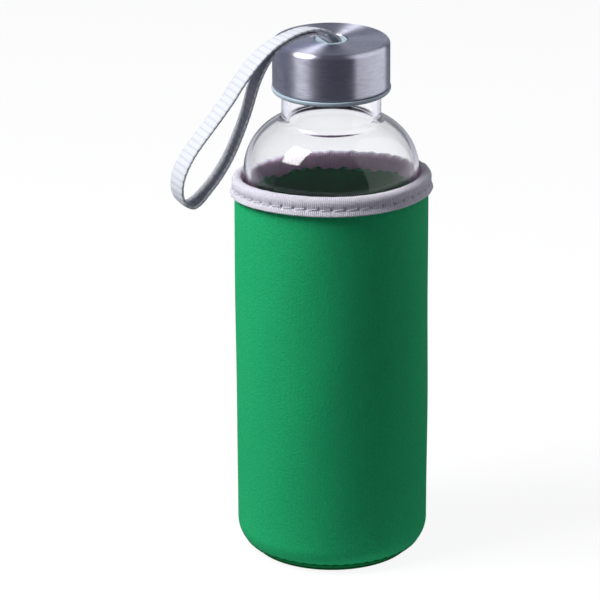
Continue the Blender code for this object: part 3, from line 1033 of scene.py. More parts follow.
@dataclass(frozen=True)
class SewingThread(Finish):
    """Twisted polyester thread."""

    def make(self, effects: Effects) -> bpy.types.Material:
        """Build the material.

        Args:
            effects: The shared effects that it may place.

        Returns:
            The finished material.
        """
        made, build, shader = self.start()
        shader.inputs["Sheen Weight"].default_value = 0.2
        place = self.where(build, MapKind.PLACE)
        tone = self.group(build, effects.mottle, {"Vector": place, "Size": 900.0, "Grain": 5200.0})
        colour = self.shades(build, tone.outputs["Mask"], 0.72, 1.15)
        build.tree.links.new(colour, shader.inputs["Base Color"])
        rough = build.between(tone.outputs["Mask"], self.roughness - 0.1, self.roughness + 0.1)
        build.tree.links.new(rough, shader.inputs["Roughness"])
        self.relief(build, shader, [(tone.outputs["Height"], 0.05 * MM, 0.6)])
        return made


@dataclass(frozen=True)
class Wardrobe:
    """Every finish, made once and found by its slot's name."""

    made: dict[str, bpy.types.Material] = field(default_factory=dict)

    def fill(self, effects: Effects) -> None:
        """Build the materials.

        Args:
            effects: The shared effects.
        """
        finishes = (
            ClearGlass("clear_glass", (0.985, 0.99, 1.0), 0.0),
            BrushedSteel("brushed_steel", (0.59, 0.60, 0.70), 0.34),
            MouldedPlastic("cap_plastic", (0.40, 0.49, 0.55), 0.36),
            MouldedPlastic("silicone", (0.82, 0.84, 0.84), 0.5),
            RibbedWebbing("strap_webbing", (0.64, 0.655, 0.69), 0.72),
            SewingThread("grey_thread", (0.58, 0.57, 0.65), 0.75),
            SewingThread("green_thread", (0.012, 0.30, 0.11), 0.75),
            KnitFace(
                "green_neoprene",
                (0.018, 0.43, 0.158),
                0.82,
                columns=430.0,
                rows=520.0,
                deep=0.04 * MM,
                darkest=0.7,
                nap=0.0,
                grain=0.32 * MM,
                # Painted shade: the sleeve's inside and the base disc, all within 32 mm of the axis, are made much
                # darker.
                painted_shade_radius=32 * MM,
                inside_painted_shade=(0.02, 0.42, 0.3),
            ),
            KnitFace(
                "grey_knit_tape",
                (0.74, 0.72, 0.80),
                0.85,
                columns=314.0,
                rows=60.0,
                deep=0.34 * MM,
                # Painted shade: the valleys between the loops go down to about half the colour.
                darkest=0.52,
                nap=0.0,
                # Painted shade: the tape's inside is darker and more mauve.
                painted_shade_radius=32 * MM,
            ),
        )
        for finish in finishes:
            self.made[finish.name] = finish.make(effects)

    def dress(self, piece: bpy.types.Object, name: str) -> None:
        """Give a piece one finish.

        Args:
            piece: The finished piece.
            name: The finish's name.
        """
        piece.data.materials.clear()
        piece.data.materials.append(self.made[name])

    def place(self, piece: bpy.types.Object, name: str, body: str, node: str) -> None:
        """Dress a piece, fix it to its body, and hide the CAD node that it stands for.

        Args:
            piece: The finished piece.
            name: Its finish.
            body: The body that it rides on.
            node: The CAD node that it replaces.
        """
        self.dress(piece, name)
        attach(piece, body)
        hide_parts(node)
        LOG.info("%s: %d faces", piece.name, len(piece.data.polygons))


# ---------------------------------------------------------------- the bottle's sub-assemblies


@dataclass
class GlassVessel:
    """The blown bottle with its screw finish."""

    wardrobe: Wardrobe
    radius: float = 31.0 * MM
    wall: float = 2.0 * MM
    floor: float = 4.2 * MM
    push_up: float = 2.0 * MM
    heel: Point2 = (24.7 * MM, 9.6 * MM)
    heel_r: float = 6.3 * MM
    dome: Point2 = (11.0 * MM, 142.0 * MM)
    dome_r: float = 20.0 * MM
    neck_r: float = 17.4 * MM
    neck_wall: float = 2.2 * MM
    fillet: float = 2.4 * MM
    mouth_z: float = 184.4 * MM
    thread_low: float = 174.6 * MM
    thread_tall: float = 1.05 * MM
    around: int = 224

    def shoulder(self, dome_r: float, neck_r: float, fillet: float, steps: int) -> list[Point2]:
        """The dome and the hollow curve that leads from it up into the neck.

        Args:
            dome_r: The dome's radius.
            neck_r: The neck's radius.
            fillet: The radius of the hollow curve.
            steps: How many steps the dome has. The hollow curve has a third as many.

        Returns:
            The curve as (radius, height) points.
        """
        x = neck_r + fillet
        z = self.dome[1] + math.sqrt((dome_r + fillet) ** 2 - (x - self.dome[0]) ** 2)
        meet = math.degrees(math.atan2(z - self.dome[1], x - self.dome[0]))
        line = arc(self.dome, dome_r, 0, meet, steps)
        return line + arc((x, z), fillet, 180 + meet, 180, steps // 3)[1:]

    def outline(self) -> list[Point2]:
        """The section from the middle of the underside, up the outside and down the inside.

        Returns:
            The section as (radius, height) points.
        """
        floor_z = self.heel[1] - self.heel_r
        line = [(0.0, floor_z + self.push_up), (15.0 * MM, floor_z + 0.7 * self.push_up)]
        line += [(20.5 * MM, floor_z + 0.35 * MM)]
        line += arc(self.heel, self.heel_r, -90, 0, 12)
        line += self.shoulder(self.dome_r, self.neck_r, self.fillet, 36)
        line += [(self.neck_r, self.mouth_z - 0.8 * MM)]
        line += arc((self.neck_r - 0.8 * MM, self.mouth_z - 0.8 * MM), 0.8 * MM, 0, 90, 4)[1:]
        bore = self.neck_r - self.neck_wall
        line += arc((bore + 0.7 * MM, self.mouth_z - 0.7 * MM), 0.7 * MM, 90, 180, 4)
        inner = self.shoulder(self.dome_r - self.wall, bore, self.fillet + self.neck_wall, 30)
        line += inner[::-1]
        line += arc(self.heel, self.heel_r - self.wall, 0, -80, 9)
        line += [(15.0 * MM, floor_z + self.floor), (0.0, floor_z + self.floor + 0.8 * MM)]
        return line

    def shaped(self, radius: np.ndarray, angle: np.ndarray, height: np.ndarray) -> tuple[np.ndarray, np.ndarray]:
        """Raise the thread on the neck, and let the inner wall wander as blown glass does.

        Args:
            radius: Each point's distance from the axis.
            angle: Each point's angle round the axis, in radians.
            height: Each point's height.

        Returns:
            The new radii and heights.
        """
        outside = radius > self.neck_r - 0.01 * MM
        on_neck = outside & (height > self.thread_low - 2.5 * MM)
        ridge = helix_ridge(angle, height, self.thread_low, (0.0, 1.5))
        moved = np.where(on_neck, self.thread_tall * ridge, 0.0)
        inner = ~outside | (radius < self.radius - 0.5 * self.wall)
        wander = np.sin(2 * angle + 90 * height) * 0.10 * MM + np.sin(5 * angle - 210 * height) * 0.05 * MM
        share = ramp(height, 12 * MM, 30 * MM) * ramp(self.mouth_z - height, 1 * MM, 12 * MM)
        inner_wall = inner & ~on_neck & (height > 8 * MM)
        on_outer_dome = np.hypot(radius - self.dome[0], height - self.dome[1]) > self.dome_r - 0.5 * self.wall
        skip = on_outer_dome & (height > self.dome[1]) & (height < 163 * MM)
        moved = moved + np.where(inner_wall & ~skip, wander * share, 0.0)
        return radius + moved, height

    def build(self) -> None:
        """Make the glass."""
        line = evenly(self.outline(), 0.75 * MM)
        glass = lathe("glass_vessel", line, self.around, closed=False, shaper=self.shaped)
        self.wardrobe.place(glass, "clear_glass", "bottle", "glass_bottle")


@dataclass
class ScrewCap:
    """Liner, steel shell, gasket and cross bar."""

    wardrobe: Wardrobe
    strap: Strap
    top: float = 190.0 * MM
    shell_r: float = 20.65 * MM
    shell_low: float = 173.5 * MM
    sheet: float = 0.4 * MM
    round_r: float = 1.7 * MM
    hole_r: float = 6.0 * MM
    gap: float = 0.3 * MM
    lip_r: float = 20.95 * MM
    lip_low: float = 171.4 * MM
    bore: float = 18.75 * MM
    ceiling: float = 186.5 * MM
    boss_r: float = 5.7 * MM
    well_r: float = 8.0 * MM
    well_low: float = 182.9 * MM
    thread_low: float = 172.6 * MM
    thread_tall: float = 1.05 * MM
    pocket: tuple[float, float, float, float] = (9.7 * MM, 6.0 * MM, 1.2 * MM, 184.4 * MM)
    bar_long: float = 13.8 * MM
    gasket_span: tuple[Point2, Point2] = ((13.0 * MM, 18.3 * MM), (184.7 * MM, 186.2 * MM))
    around: int = 256
    liner_around: int = 160
    gasket_around: int = 128

    def shell_outline(self) -> list[Point2]:
        """The steel cup's section: a faintly sunk top, a rolled edge and a hemmed foot.

        Returns:
            The section as (radius, height) points.
        """
        corner = (self.shell_r - self.round_r, self.top - self.round_r)
        line = [(self.shell_r - 0.15 * MM, self.shell_low), (self.shell_r, self.shell_low + 0.15 * MM)]
        line += arc(corner, self.round_r, 0, 90, 12)
        line += [(self.shell_r - 3.2 * MM, self.top - 0.06 * MM), (self.hole_r + 0.6 * MM, self.top - 0.10 * MM)]
        line += arc((self.hole_r + 0.25 * MM, self.top - 0.35 * MM), 0.25 * MM, 90, 180, 4)
        line += [(self.hole_r, self.top - self.sheet - 0.1 * MM)]
        line += arc(corner, self.round_r - self.sheet, 90, 0, 8)
        line += [(self.shell_r - self.sheet, self.shell_low + 0.15 * MM)]
        return line + [(self.shell_r - 0.25 * MM, self.shell_low)]

    def liner_outline(self) -> list[Point2]:
        """The liner's section, from the middle of its top, down the outside and up the inside.

        Returns:
            The section as (radius, height) points.
        """
        under = self.top - self.sheet - self.gap
        skirt = self.shell_r - self.sheet - self.gap
        corner = self.round_r - self.sheet - self.gap
        boss_top = self.top - 0.1 * MM
        line = [(0.0, boss_top), (self.boss_r - 0.25 * MM, boss_top), (self.boss_r, boss_top - 0.25 * MM)]
        line += [(self.boss_r, under)]
        line += arc((skirt - corner, under - corner), corner, 90, 0, 6)
        lip_top = self.shell_low - self.gap
        line += [(skirt, lip_top)]
        line += arc((self.lip_r - 0.35 * MM, lip_top - 0.35 * MM), 0.35 * MM, 90, 0, 4)
        line += arc((self.lip_r - 1.1 * MM, self.lip_low + 1.1 * MM), 1.1 * MM, 0, -90, 8)
        line += [(self.bore + 0.3 * MM, self.lip_low), (self.bore, self.lip_low + 0.3 * MM)]
        line += [(self.bore, self.ceiling), (self.well_r, self.ceiling)]
        line += [(self.well_r, self.well_low + 0.5 * MM), (self.well_r - 0.5 * MM, self.well_low)]
        line += [(0.0, self.well_low)]
        return line

    def threaded(self, radius: np.ndarray, angle: np.ndarray, height: np.ndarray) -> tuple[np.ndarray, np.ndarray]:
        """Raise the thread inside the liner.

        Args:
            radius: Each point's distance from the axis.
            angle: Each point's angle round the axis, in radians.
            height: Each point's height.

        Returns:
            The new radii and heights.
        """
        on_bore = (np.abs(radius - self.bore) < 0.05 * MM) & (height < self.ceiling - 1 * MM)
        ridge = helix_ridge(angle, height, self.thread_low, (0.4, 1.75))
        return radius - np.where(on_bore, self.thread_tall * ridge, 0.0), height

    def pocket_cutter(self) -> bpy.types.Object:
        """The strap pocket's shape, a block with rounded corners.

        Returns:
            The closed block, to cut with.
        """
        long, wide, corner, low = self.pocket
        points = []
        for side, out, start in ((1, 1, 0), (-1, 1, 90), (-1, -1, 180), (1, -1, 270)):
            centre = (side * (long / 2 - corner), out * (wide / 2 - corner))
            points += arc(centre, corner, start, start + 90, 6)
        flat = [self.strap.across * x + self.strap.outward * y for x, y in points]
        count = len(flat)
        co = [p + UP * low for p in flat] + [p + UP * (self.top + 2 * MM) for p in flat]
        faces = [[i, (i + 1) % count, count + (i + 1) % count, count + i] for i in range(count)]
        faces += [list(range(count))[::-1], list(range(count, 2 * count))]
        cutter = new_mesh("pocket_cutter", np.array(co), faces)
        self.turn_out(cutter)
        return cutter

    def rod(self, name: str, radius: float, long: float) -> bpy.types.Object:
        """A round rod across the pocket, its ends softly rounded.

        Args:
            name: The rod's name.
            radius: Its radius.
            long: Its length.

        Returns:
            The rod, in its place.
        """
        soft = radius * 0.25
        section = [(0.0, -long / 2), (radius - soft, -long / 2), (radius, -long / 2 + soft)]
        section += [(radius, long / 2 - soft), (radius - soft, long / 2), (0.0, long / 2)]
        made = lathe(name, section, 32, closed=False)
        turn = Matrix((self.strap.across.cross(UP), UP, self.strap.across)).transposed().to_4x4()
        made.data.transform(Matrix.Translation(UP * self.strap.bar_z) @ turn)
        self.turn_out(made)
        return made

    @staticmethod
    def turn_out(piece: bpy.types.Object) -> None:
        """Point every face outwards.

        Args:
            piece: A closed piece.
        """
        bm = bmesh.new()
        bm.from_mesh(piece.data)
        bmesh.ops.recalc_face_normals(bm, faces=bm.faces)
        bm.to_mesh(piece.data)
        bm.free()

    def cut(self, piece: bpy.types.Object, cutters: Sequence[bpy.types.Object]) -> None:
        """Take each cutter out of a piece, and remove the cutters.

        Args:
            piece: The piece that is cut.
            cutters: The shapes to take out of it.
        """
        for cutter in cutters:
            tool = piece.modifiers.new(cutter.name, "BOOLEAN")
            tool.operation = "DIFFERENCE"
            tool.solver = "EXACT"
            tool.object = cutter
        graph = bpy.context.evaluated_depsgraph_get()
        mesh = bpy.data.meshes.new_from_object(piece.evaluated_get(graph))
        piece.modifiers.clear()
        piece.data = mesh
        mesh.set_sharp_from_angle(angle=math.radians(40))
        for cutter in cutters:
            bpy.data.objects.remove(cutter, do_unlink=True)

    def build(self) -> None:
        """Make the four pieces."""
        shell = lathe("steel_shell", evenly(self.shell_outline(), 0.6 * MM), self.around, closed=True)
        self.wardrobe.place(shell, "brushed_steel", "cap", "cap_shell")

        line = evenly(self.liner_outline(), 0.5 * MM)
        liner = lathe("cap_liner", line, self.liner_around, closed=False, shaper=self.threaded)
        self.turn_out(liner)
        seat = self.rod("bar_seat_cutter", self.strap.bar_r + self.gap, self.bar_long + 2 * self.gap)
        self.cut(liner, (self.pocket_cutter(), seat))
        self.wardrobe.place(liner, "cap_plastic", "cap", "cap_core")

        bar = self.rod("cross_bar", self.strap.bar_r, self.bar_long)
        self.wardrobe.place(bar, "cap_plastic", "cap", "strap_bar")

        (inner, outer), (low, high) = self.gasket_span
        corners = ((inner, low), (outer, low), (outer, high), (inner, high), (inner, low))
        line = softened(evenly(corners, 0.5 * MM)[:-1], closed=True, rounds=2)
        gasket = lathe("gasket", line, self.gasket_around, closed=True)
        self.wardrobe.place(gasket, "silicone", "seal", "cap_seal")


@dataclass
class CarryStrap:
    """The webbing loop and its sewn join."""

    wardrobe: Wardrobe
    strap: Strap
    step: float = 0.3 * MM
    rib_pitch: float = 2.4 * MM
    rib_depth: float = 0.09 * MM
    edge_depth: float = 0.30 * MM
    cup: float = 0.35 * MM
    half_points: int = 9
    clearance: float = 0.3 * MM
    bends_from: float = 5.0 * MM
    bends_to: float = 24.0 * MM
    free_by: float = 36.0 * MM
    pocket_mouth: float = 2.4 * MM
    tack_out: float = 8.0 * MM
    tack_height: float = 193.2 * MM
    tack_lean: float = math.radians(11)
    tack_passes: int = 14
    tack_half_long: float = 3.2 * MM
    tack_half_wide: float = 0.75 * MM

    def line(self) -> np.ndarray:
        """The closed middle line as rows of (outward, height, twist), evenly spaced.

        Returns:
            The rows, without a repeated end.
        """
        turn_r = self.strap.bar_r + self.clearance + self.strap.thick / 2
        under = arc((0.0, self.strap.bar_z), turn_r, 360, 180, 8)[1:-1]
        points = [(out * MM, high * MM, math.radians(twist)) for out, high, twist in STRAP_ROUTE]
        rows = np.array(points + [(x, z, 0.0) for x, z in under])
        fine = []
        for i, here in enumerate(rows):
            before, after, beyond = rows[i - 1], rows[(i + 1) % len(rows)], rows[(i + 2) % len(rows)]
            t = np.linspace(0, 1, 24, endpoint=False)[:, None]
            fine.append(
                0.5
                * (
                    2 * here
                    + (after - before) * t
                    + (2 * before - 5 * here + 4 * after - beyond) * t**2
                    + (3 * here - before - 3 * after + beyond) * t**3
                )
            )
        fine = np.concatenate(fine)
        closed = np.vstack([fine, fine[:1]])
        along = np.concatenate([[0], np.cumsum(np.hypot(*np.diff(closed[:, :2], axis=0).T))])
        ribs = round(along[-1] / self.rib_pitch)
        count = ribs * round(self.rib_pitch / self.step)
        at = np.arange(count) * along[-1] / count
        return np.stack([np.interp(at, along, closed[:, k]) for k in range(3)], axis=1)

    def frames(self, line: np.ndarray) -> tuple[np.ndarray, np.ndarray, np.ndarray]:
        """The line's points in space, with the directions of the webbing's width and thickness.

        Args:
            line: The rows from the method line.

        Returns:
            The points, the width directions and the thickness directions.
        """
        out, across = np.array(self.strap.outward), np.array(self.strap.across)
        middle = line[:, :1] * out + line[:, 1:2] * np.array(UP)
        along = np.roll(middle, -1, axis=0) - np.roll(middle, 1, axis=0)
        along /= np.linalg.norm(along, axis=1, keepdims=True)
        flat = np.cross(across, along)
        wide = across * np.cos(line[:, 2:]) - flat * np.sin(line[:, 2:])
        return middle, wide, np.cross(wide, along)

    def section(self) -> np.ndarray:
        """Half-width and half-thickness shares round the webbing's section.

        Returns:
            The (width, thickness) shares, one row for each corner.
        """
        side = np.cos(np.linspace(0, math.pi, self.half_points * 2 - 1))
        upper = np.stack([side * 0.97, np.ones_like(side)], axis=1)
        upper[0] = (1.0, 0.45)
        upper[-1] = (-1.0, 0.45)
        lower = upper[::-1] * np.array([1.0, -1.0])
        return np.concatenate([upper, lower])

    def webbing(self) -> tuple[bpy.types.Object, np.ndarray]:
        """The band, and the points its middle follows.

        Returns:
            The band's object, and the points.
        """
        line = self.line()
        middle, wide, thick = self.frames(line)
        section = self.section()
        away = np.hypot(line[:, 0], line[:, 1] - self.strap.bar_z)
        grown = ramp(away, self.strap.narrow_until, self.strap.wide_from)
        half = (self.strap.narrow + (self.strap.wide - self.strap.narrow) * grown) / 2
        free = ramp(line[:, 0], self.bends_to, self.free_by)
        bend = self.cup * free
        grid = np.zeros((len(line), len(section), 3))
        for j, (w, t) in enumerate(section):
            lift = t * self.strap.thick / 2 + bend * (w * w - 0.35)
            grid[:, j] = middle + wide * (w * half)[:, None] + thick * lift[:, None]
        band = grid_object("webbing", grid[:, ::-1], wrap_rows=True, wrap_columns=True)
        rows, columns = grid.shape[:2]
        step = np.linalg.norm(np.diff(np.vstack([middle, middle[:1]]), axis=0), axis=1).sum() / rows
        self.tag(band, "along", np.repeat(np.arange(rows) * step, columns))
        edge = np.tile((np.abs(section[::-1, 0]) > 0.99).astype(float), rows)
        self.tag(band, "edge", edge)
        total = rows * step
        pitch = total / round(total / self.rib_pitch)
        ribbed = bake_tree(
            band,
            rib_relief_tree(),
            {
                "Pitch": pitch,
                "Depth": self.rib_depth,
                "Edge Depth": self.edge_depth,
                "Material": self.wardrobe.made["strap_webbing"],
            },
        )
        return ribbed, middle

    @staticmethod
    def tag(piece: bpy.types.Object, name: str, values: np.ndarray) -> None:
        """Store one number for each point."""
        attribute = piece.data.attributes.new(name, "FLOAT", "POINT")
        attribute.data.foreach_set("value", values.astype(np.float32))

    def bartack(self) -> bpy.types.Object:
        """A dense zigzag of thread under the double stretch.

        Returns:
            The row of thread.
        """
        out = self.strap.outward
        across = self.strap.across * math.cos(self.tack_lean) + UP * math.sin(self.tack_lean)
        down = across.cross(out)
        centre = out * self.tack_out + UP * self.tack_height + down * (self.strap.thick / 2 + 0.32 * MM)
        points = []
        for i in range(self.tack_passes + 1):
            side = 1 if i % 2 else -1
            along = self.tack_half_long * (2 * i / self.tack_passes - 1)
            points.append(centre + across * along + out * side * self.tack_half_wide)
        co = np.array(points)
        line = seam_line("sewn_join", co, np.tile(np.array(down), (len(co), 1)), closed=False)
        stitch = thread_stitch("join_stitch", 1.75 * MM, 0.34 * MM, 0.05 * MM)
        thread = self.wardrobe.made["grey_thread"]
        return sewn_row(line, stitch, self.tack_passes * 2 + 1, 0.05, 5, 0.0, thread)

    def build(self) -> bpy.types.Object:
        """Make the strap and return the webbing.

        Returns:
            The webbing.
        """
        band, middle = self.webbing()
        self.wardrobe.dress(band, "strap_webbing")
        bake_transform(band)
        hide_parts("strap_anchor", "strap_loop")
        tack = self.bartack()
        self.wardrobe.place(tack, "grey_thread", "cap", "strap_bartack")
        return band


@dataclass
class Sleeve:
    """Neoprene tube and disc, rim binding and the two sewn lines."""

    wardrobe: Wardrobe
    rim: Rim
    radius: float = 34.3 * MM
    wall: float = 2.9 * MM
    heel_r: float = 9.6 * MM
    heel_sweep: float = 64.0
    base_thick: float = 3.0 * MM
    seam_height: float = 2.3 * MM
    stitches: int = 48
    base_stitches: int = 53
    side_seam: float = math.radians(-167.5)
    tape_join: float = math.radians(127)
    # Where the tape creases: degrees round the rim, then depth and width in millimetres.
    tape_creases: tuple[tuple[float, float, float], ...] = (
        (-169.0, 0.6, 1.1),
        (-178.0, 0.4, 1.0),
        (-12.0, 0.15, 2.0),
        (127.0, 0.3, 1.4),
    )
    thread_r: float = 34.92 * MM
    thread_thick: float = 0.42 * MM
    foot_thread_at: float = math.radians(51)

    def needle_gap(self, angle: np.ndarray) -> np.ndarray:
        """Distance round the rim from the nearest needle hole."""
        pitch = 2 * math.pi / self.stitches
        return np.abs((angle + pitch / 2) % pitch - pitch / 2) * self.radius

    def tube_outline(self) -> list[Point2]:
        """The tube's section at the rim's mean height.

        Returns:
            The section as (radius, height) points.
        """
        heel = (self.radius - self.heel_r, self.heel_r)
        low = self.rim.low
        inner = self.radius - self.wall
        line = arc(heel, self.heel_r, -self.heel_sweep, 0, 34)
        line += evenly([line[-1], (self.radius, low - 9 * MM)], 3 * MM)[1:]
        edge = [(self.radius, low - 9 * MM), (self.radius, low - 3 * MM), (self.radius - 0.15 * MM, low)]
        edge += [(self.radius - 0.15 * MM, low + 3.4 * MM), (self.radius - 0.5 * MM, low + 4.6 * MM)]
        edge += [(self.radius - 1.1 * MM, low + 5.1 * MM), (self.radius - 1.7 * MM, low + 4.6 * MM)]
        edge += [(self.radius - 2.15 * MM, low + 3.4 * MM), (self.radius - 2.15 * MM, low - 0.5 * MM)]
        line += evenly(edge + [(inner, low - 3 * MM)], 1 * MM)[1:]
        line += evenly([(inner, low - 3 * MM), (inner, self.heel_r)], 5 * MM)[1:]
        return line + arc(heel, self.heel_r - self.wall, 0, -self.heel_sweep, 8)[1:]

    def tube_shape(
        self, radius: np.ndarray, angle: np.ndarray, height: np.ndarray
    ) -> tuple[np.ndarray, np.ndarray]:
        """Tilt the rim, press in the side seam, and let the cloth lie a little unevenly.

        Args:
            radius: Each point's distance from the axis.
            angle: Each point's angle round the axis, in radians.
            height: Each point's height.

        Returns:
            The new radii and heights.
        """
        share = np.clip((height - 92 * MM) / (self.rim.low - 3 * MM - 92 * MM), 0.0, 1.0)
        outside = radius > self.radius - 0.8 * self.wall
        seam = bump(turn_gap(angle, self.side_seam) * self.radius, 0.0, 0.40 * MM)
        seam_fade = ramp(height, 1 * MM, 6 * MM)
        lay = 0.10 * MM * np.sin(3 * angle + 40 * height) + 0.06 * MM * np.sin(7 * angle - 95 * height + 1.0)
        under_rim = bump(height, self.rim.low - 0.5 * MM, 2.6 * MM)
        pinch = bump(self.needle_gap(angle), 0.0, 0.9 * MM)
        below = np.arctan2(self.heel_r - height, radius - self.radius + self.heel_r)
        at_needle = 0.5 + 0.5 * np.cos(self.base_stitches * angle)
        drawn_in = ramp(below, math.radians(36), math.radians(42)) * at_needle
        needle = bump(below, math.radians(40), math.radians(2.6)) * at_needle**6
        dents = 0.25 * MM * seam * seam_fade + 0.14 * MM * pinch * under_rim
        dents = dents + 0.26 * MM * (drawn_in + needle)
        taper = 0.2 * MM * (1 - ramp(height, 8 * MM, 60 * MM))
        moved = lay * ramp(height, 6 * MM, 30 * MM) - dents - taper
        return radius + np.where(outside, moved, 0.0), height + self.rim.rise(angle) * share

    def binding_outline(self) -> list[Point2]:
        """The tape's section: outer flange and roll, over the rim, and down inside.

        Returns:
            The section as (radius, height) points.
        """
        shape = (
            (34.6, 0.0), (35.4, -0.15), (35.95, 0.04), (35.86, 0.5), (35.5, 1.4), (35.12, 2.1), (35.12, 2.6),
            (35.3, 3.6), (35.3, 4.6), (34.9, 5.6), (34.2, 6.2), (33.2, 6.45), (32.2, 6.2), (31.6, 5.4),
            (31.38, 4.4), (31.36, 2.0), (31.4, 0.0), (31.62, -0.1), (31.85, 0.0), (31.85, 4.4), (32.3, 5.3),
            (33.2, 5.8), (34.2, 5.4), (34.65, 4.6), (34.66, 3.6), (34.42, 2.3), (34.45, 1.0),
        )  # fmt: skip
        line = [(radius * MM, self.rim.low + height * MM) for radius, height in shape]
        return softened(line, closed=True, rounds=1)

    def binding_shape(
        self, radius: np.ndarray, angle: np.ndarray, height: np.ndarray
    ) -> tuple[np.ndarray, np.ndarray]:
        """Pucker the tape at its stitches, crease it at the side seam and at its own join.

        Args:
            radius: Each point's distance from the axis.
            angle: Each point's angle round the axis, in radians.
            height: Each point's height.

        Returns:
            The new radii and heights.
        """
        local = height - self.rim.low
        outside = radius > 34.5 * MM
        holes = self.needle_gap(angle)
        at_seam = bump(local, self.seam_height, 0.55 * MM)
        near_seam = bump(local, self.seam_height, 1.5 * MM)
        dent = 0.60 * MM * at_seam * bump(holes, 0.0, 0.34 * MM)
        dent = dent + 0.08 * MM * near_seam * bump(holes, 0.0, 1.2 * MM)
        roll = 0.05 * MM * np.sin(7 * angle + 0.7) + 0.03 * MM * np.sin(23 * angle + 2.1)
        creases = np.zeros_like(radius)
        for centre, deep, width in self.tape_creases:
            across = turn_gap(angle, math.radians(centre)) * self.radius + 0.45 * (local - 3 * MM)
            creases = creases + deep * MM * bump(across, 0.0, width * MM)
        outer = np.where(outside, roll * ramp(local, 2.6 * MM, 4.0 * MM) - dent - creases, 0.0)
        inside = radius < 32.0 * MM
        hang = 0.45 * MM * np.sin(17 * angle) * np.sin(6.3 * angle + 1.0) + 0.3 * MM * np.sin(41 * angle + 0.4)
        join = bump(turn_gap(angle, self.tape_join) * self.radius, 0.0, 3.0 * MM)
        droop = np.where(inside, (hang - 1.6 * MM * join) * (1 - ramp(local, 0.5 * MM, 4.0 * MM)), 0.0)
        ruffle = 0.03 * MM + 0.16 * MM * ramp(np.sin(angle), 0.0, 0.5)
        crest = ruffle * (np.sin(29 * angle + 0.5) + 0.8 * np.sin(53 * angle)) * ramp(local, 4 * MM, 6.4 * MM)
        return radius + outer, height + self.rim.rise(angle) + droop + crest

    def rim_stitches(self) -> bpy.types.Object:
        """The row of straight stitches through the binding.

        Returns:
            The row of stitches.
        """
        angle = np.linspace(0, 2 * math.pi, 480, endpoint=False)
        half_pitch = math.pi / self.stitches
        angle = angle + half_pitch
        spoke = np.stack([np.cos(angle), np.sin(angle), np.zeros_like(angle)], axis=1)
        height = self.rim.low + self.seam_height + self.rim.rise(angle)
        line = spoke * self.thread_r + height[:, None] * np.array(UP)
        host = seam_line("rim_stitches", line, spoke, closed=True)
        pitch = 2 * math.pi * 34.9 * MM / self.stitches
        stitch = thread_stitch("rim_stitch", pitch * 0.84, self.thread_thick, 0.24 * MM)
        return sewn_row(host, stitch, self.stitches, 0.06, 3, 0.09, self.wardrobe.made["grey_thread"])

    def foot_stitches(self) -> bpy.types.Object:
        """Overlock loops that wrap the tube's lower edge.

        Returns:
            The row of loops.
        """
        angle = np.linspace(0, 2 * math.pi, 530, endpoint=False)
        spoke = np.stack([np.cos(angle), np.sin(angle), np.zeros_like(angle)], axis=1)
        tilt = self.foot_thread_at
        normal = spoke * math.cos(tilt) - np.array(UP) * math.sin(tilt)
        centre = spoke * (self.radius - self.heel_r) + np.array(UP) * self.heel_r
        host = seam_line("foot_stitches", centre + normal * (self.heel_r - 0.38 * MM), normal, closed=True)
        stitch = thread_stitch("foot_stitch", 3.6 * MM, self.thread_thick, 0.16 * MM)
        thread = self.wardrobe.made["green_thread"]
        return sewn_row(host, stitch, self.base_stitches, 0.08, 8, math.radians(82), thread)

    def base_disc(self) -> bpy.types.Object:
        """The round disc under the bottle, its edge rounded.

        Returns:
            The disc.
        """
        edge = ((28.3, 0.0), (28.62, 0.35), (28.5, 0.9), (27.6, 2.8), (27.3, 3.0))
        line = [(0.0, 0.0)] + [(x * MM, z * MM) for x, z in edge] + [(0.0, self.base_thick)]
        return lathe("base_disc", evenly(line, 1.2 * MM), 160, closed=False)

    def build(self) -> None:
        """Make the sleeve."""
        around = 12 * self.base_stitches
        tube = lathe("neoprene_tube", self.tube_outline(), around, closed=True, shaper=self.tube_shape)
        disc = self.base_disc()
        around = 22 * self.stitches
        binding = lathe("rim_binding", self.binding_outline(), around, closed=True, shaper=self.binding_shape)
        dressed = (
            (tube, "green_neoprene", "sleeve_wall"),
            (disc, "green_neoprene", "sleeve_base"),
            (binding, "grey_knit_tape", "sleeve_binding"),
            (self.rim_stitches(), "grey_thread", "binding_thread"),
            (self.foot_stitches(), "green_thread", "base_seam_thread"),
        )
        for piece, finish, node in dressed:
            self.wardrobe.place(piece, finish, "sleeve", node)


# ---------------------------------------------------------------- the studio


@dataclass(frozen=True)
class Panel:
    """A soft flat light.

    Attributes:
        azimuth: Degrees from the front, towards the right.
        elevation: Degrees above the target.
        distance: Metres from the target.
        size: Width and height.
        radiance: Brightness of its surface.
        roll: Degrees that it is turned in its own plane.
        gathered: Whether it lights matt surfaces.
        mirrored: Whether reflections show it.
    """

    azimuth: float
    elevation: float
    distance: float
    size: Point2
    radiance: float
    roll: float = 0.0
    gathered: bool = True
    mirrored: bool = True


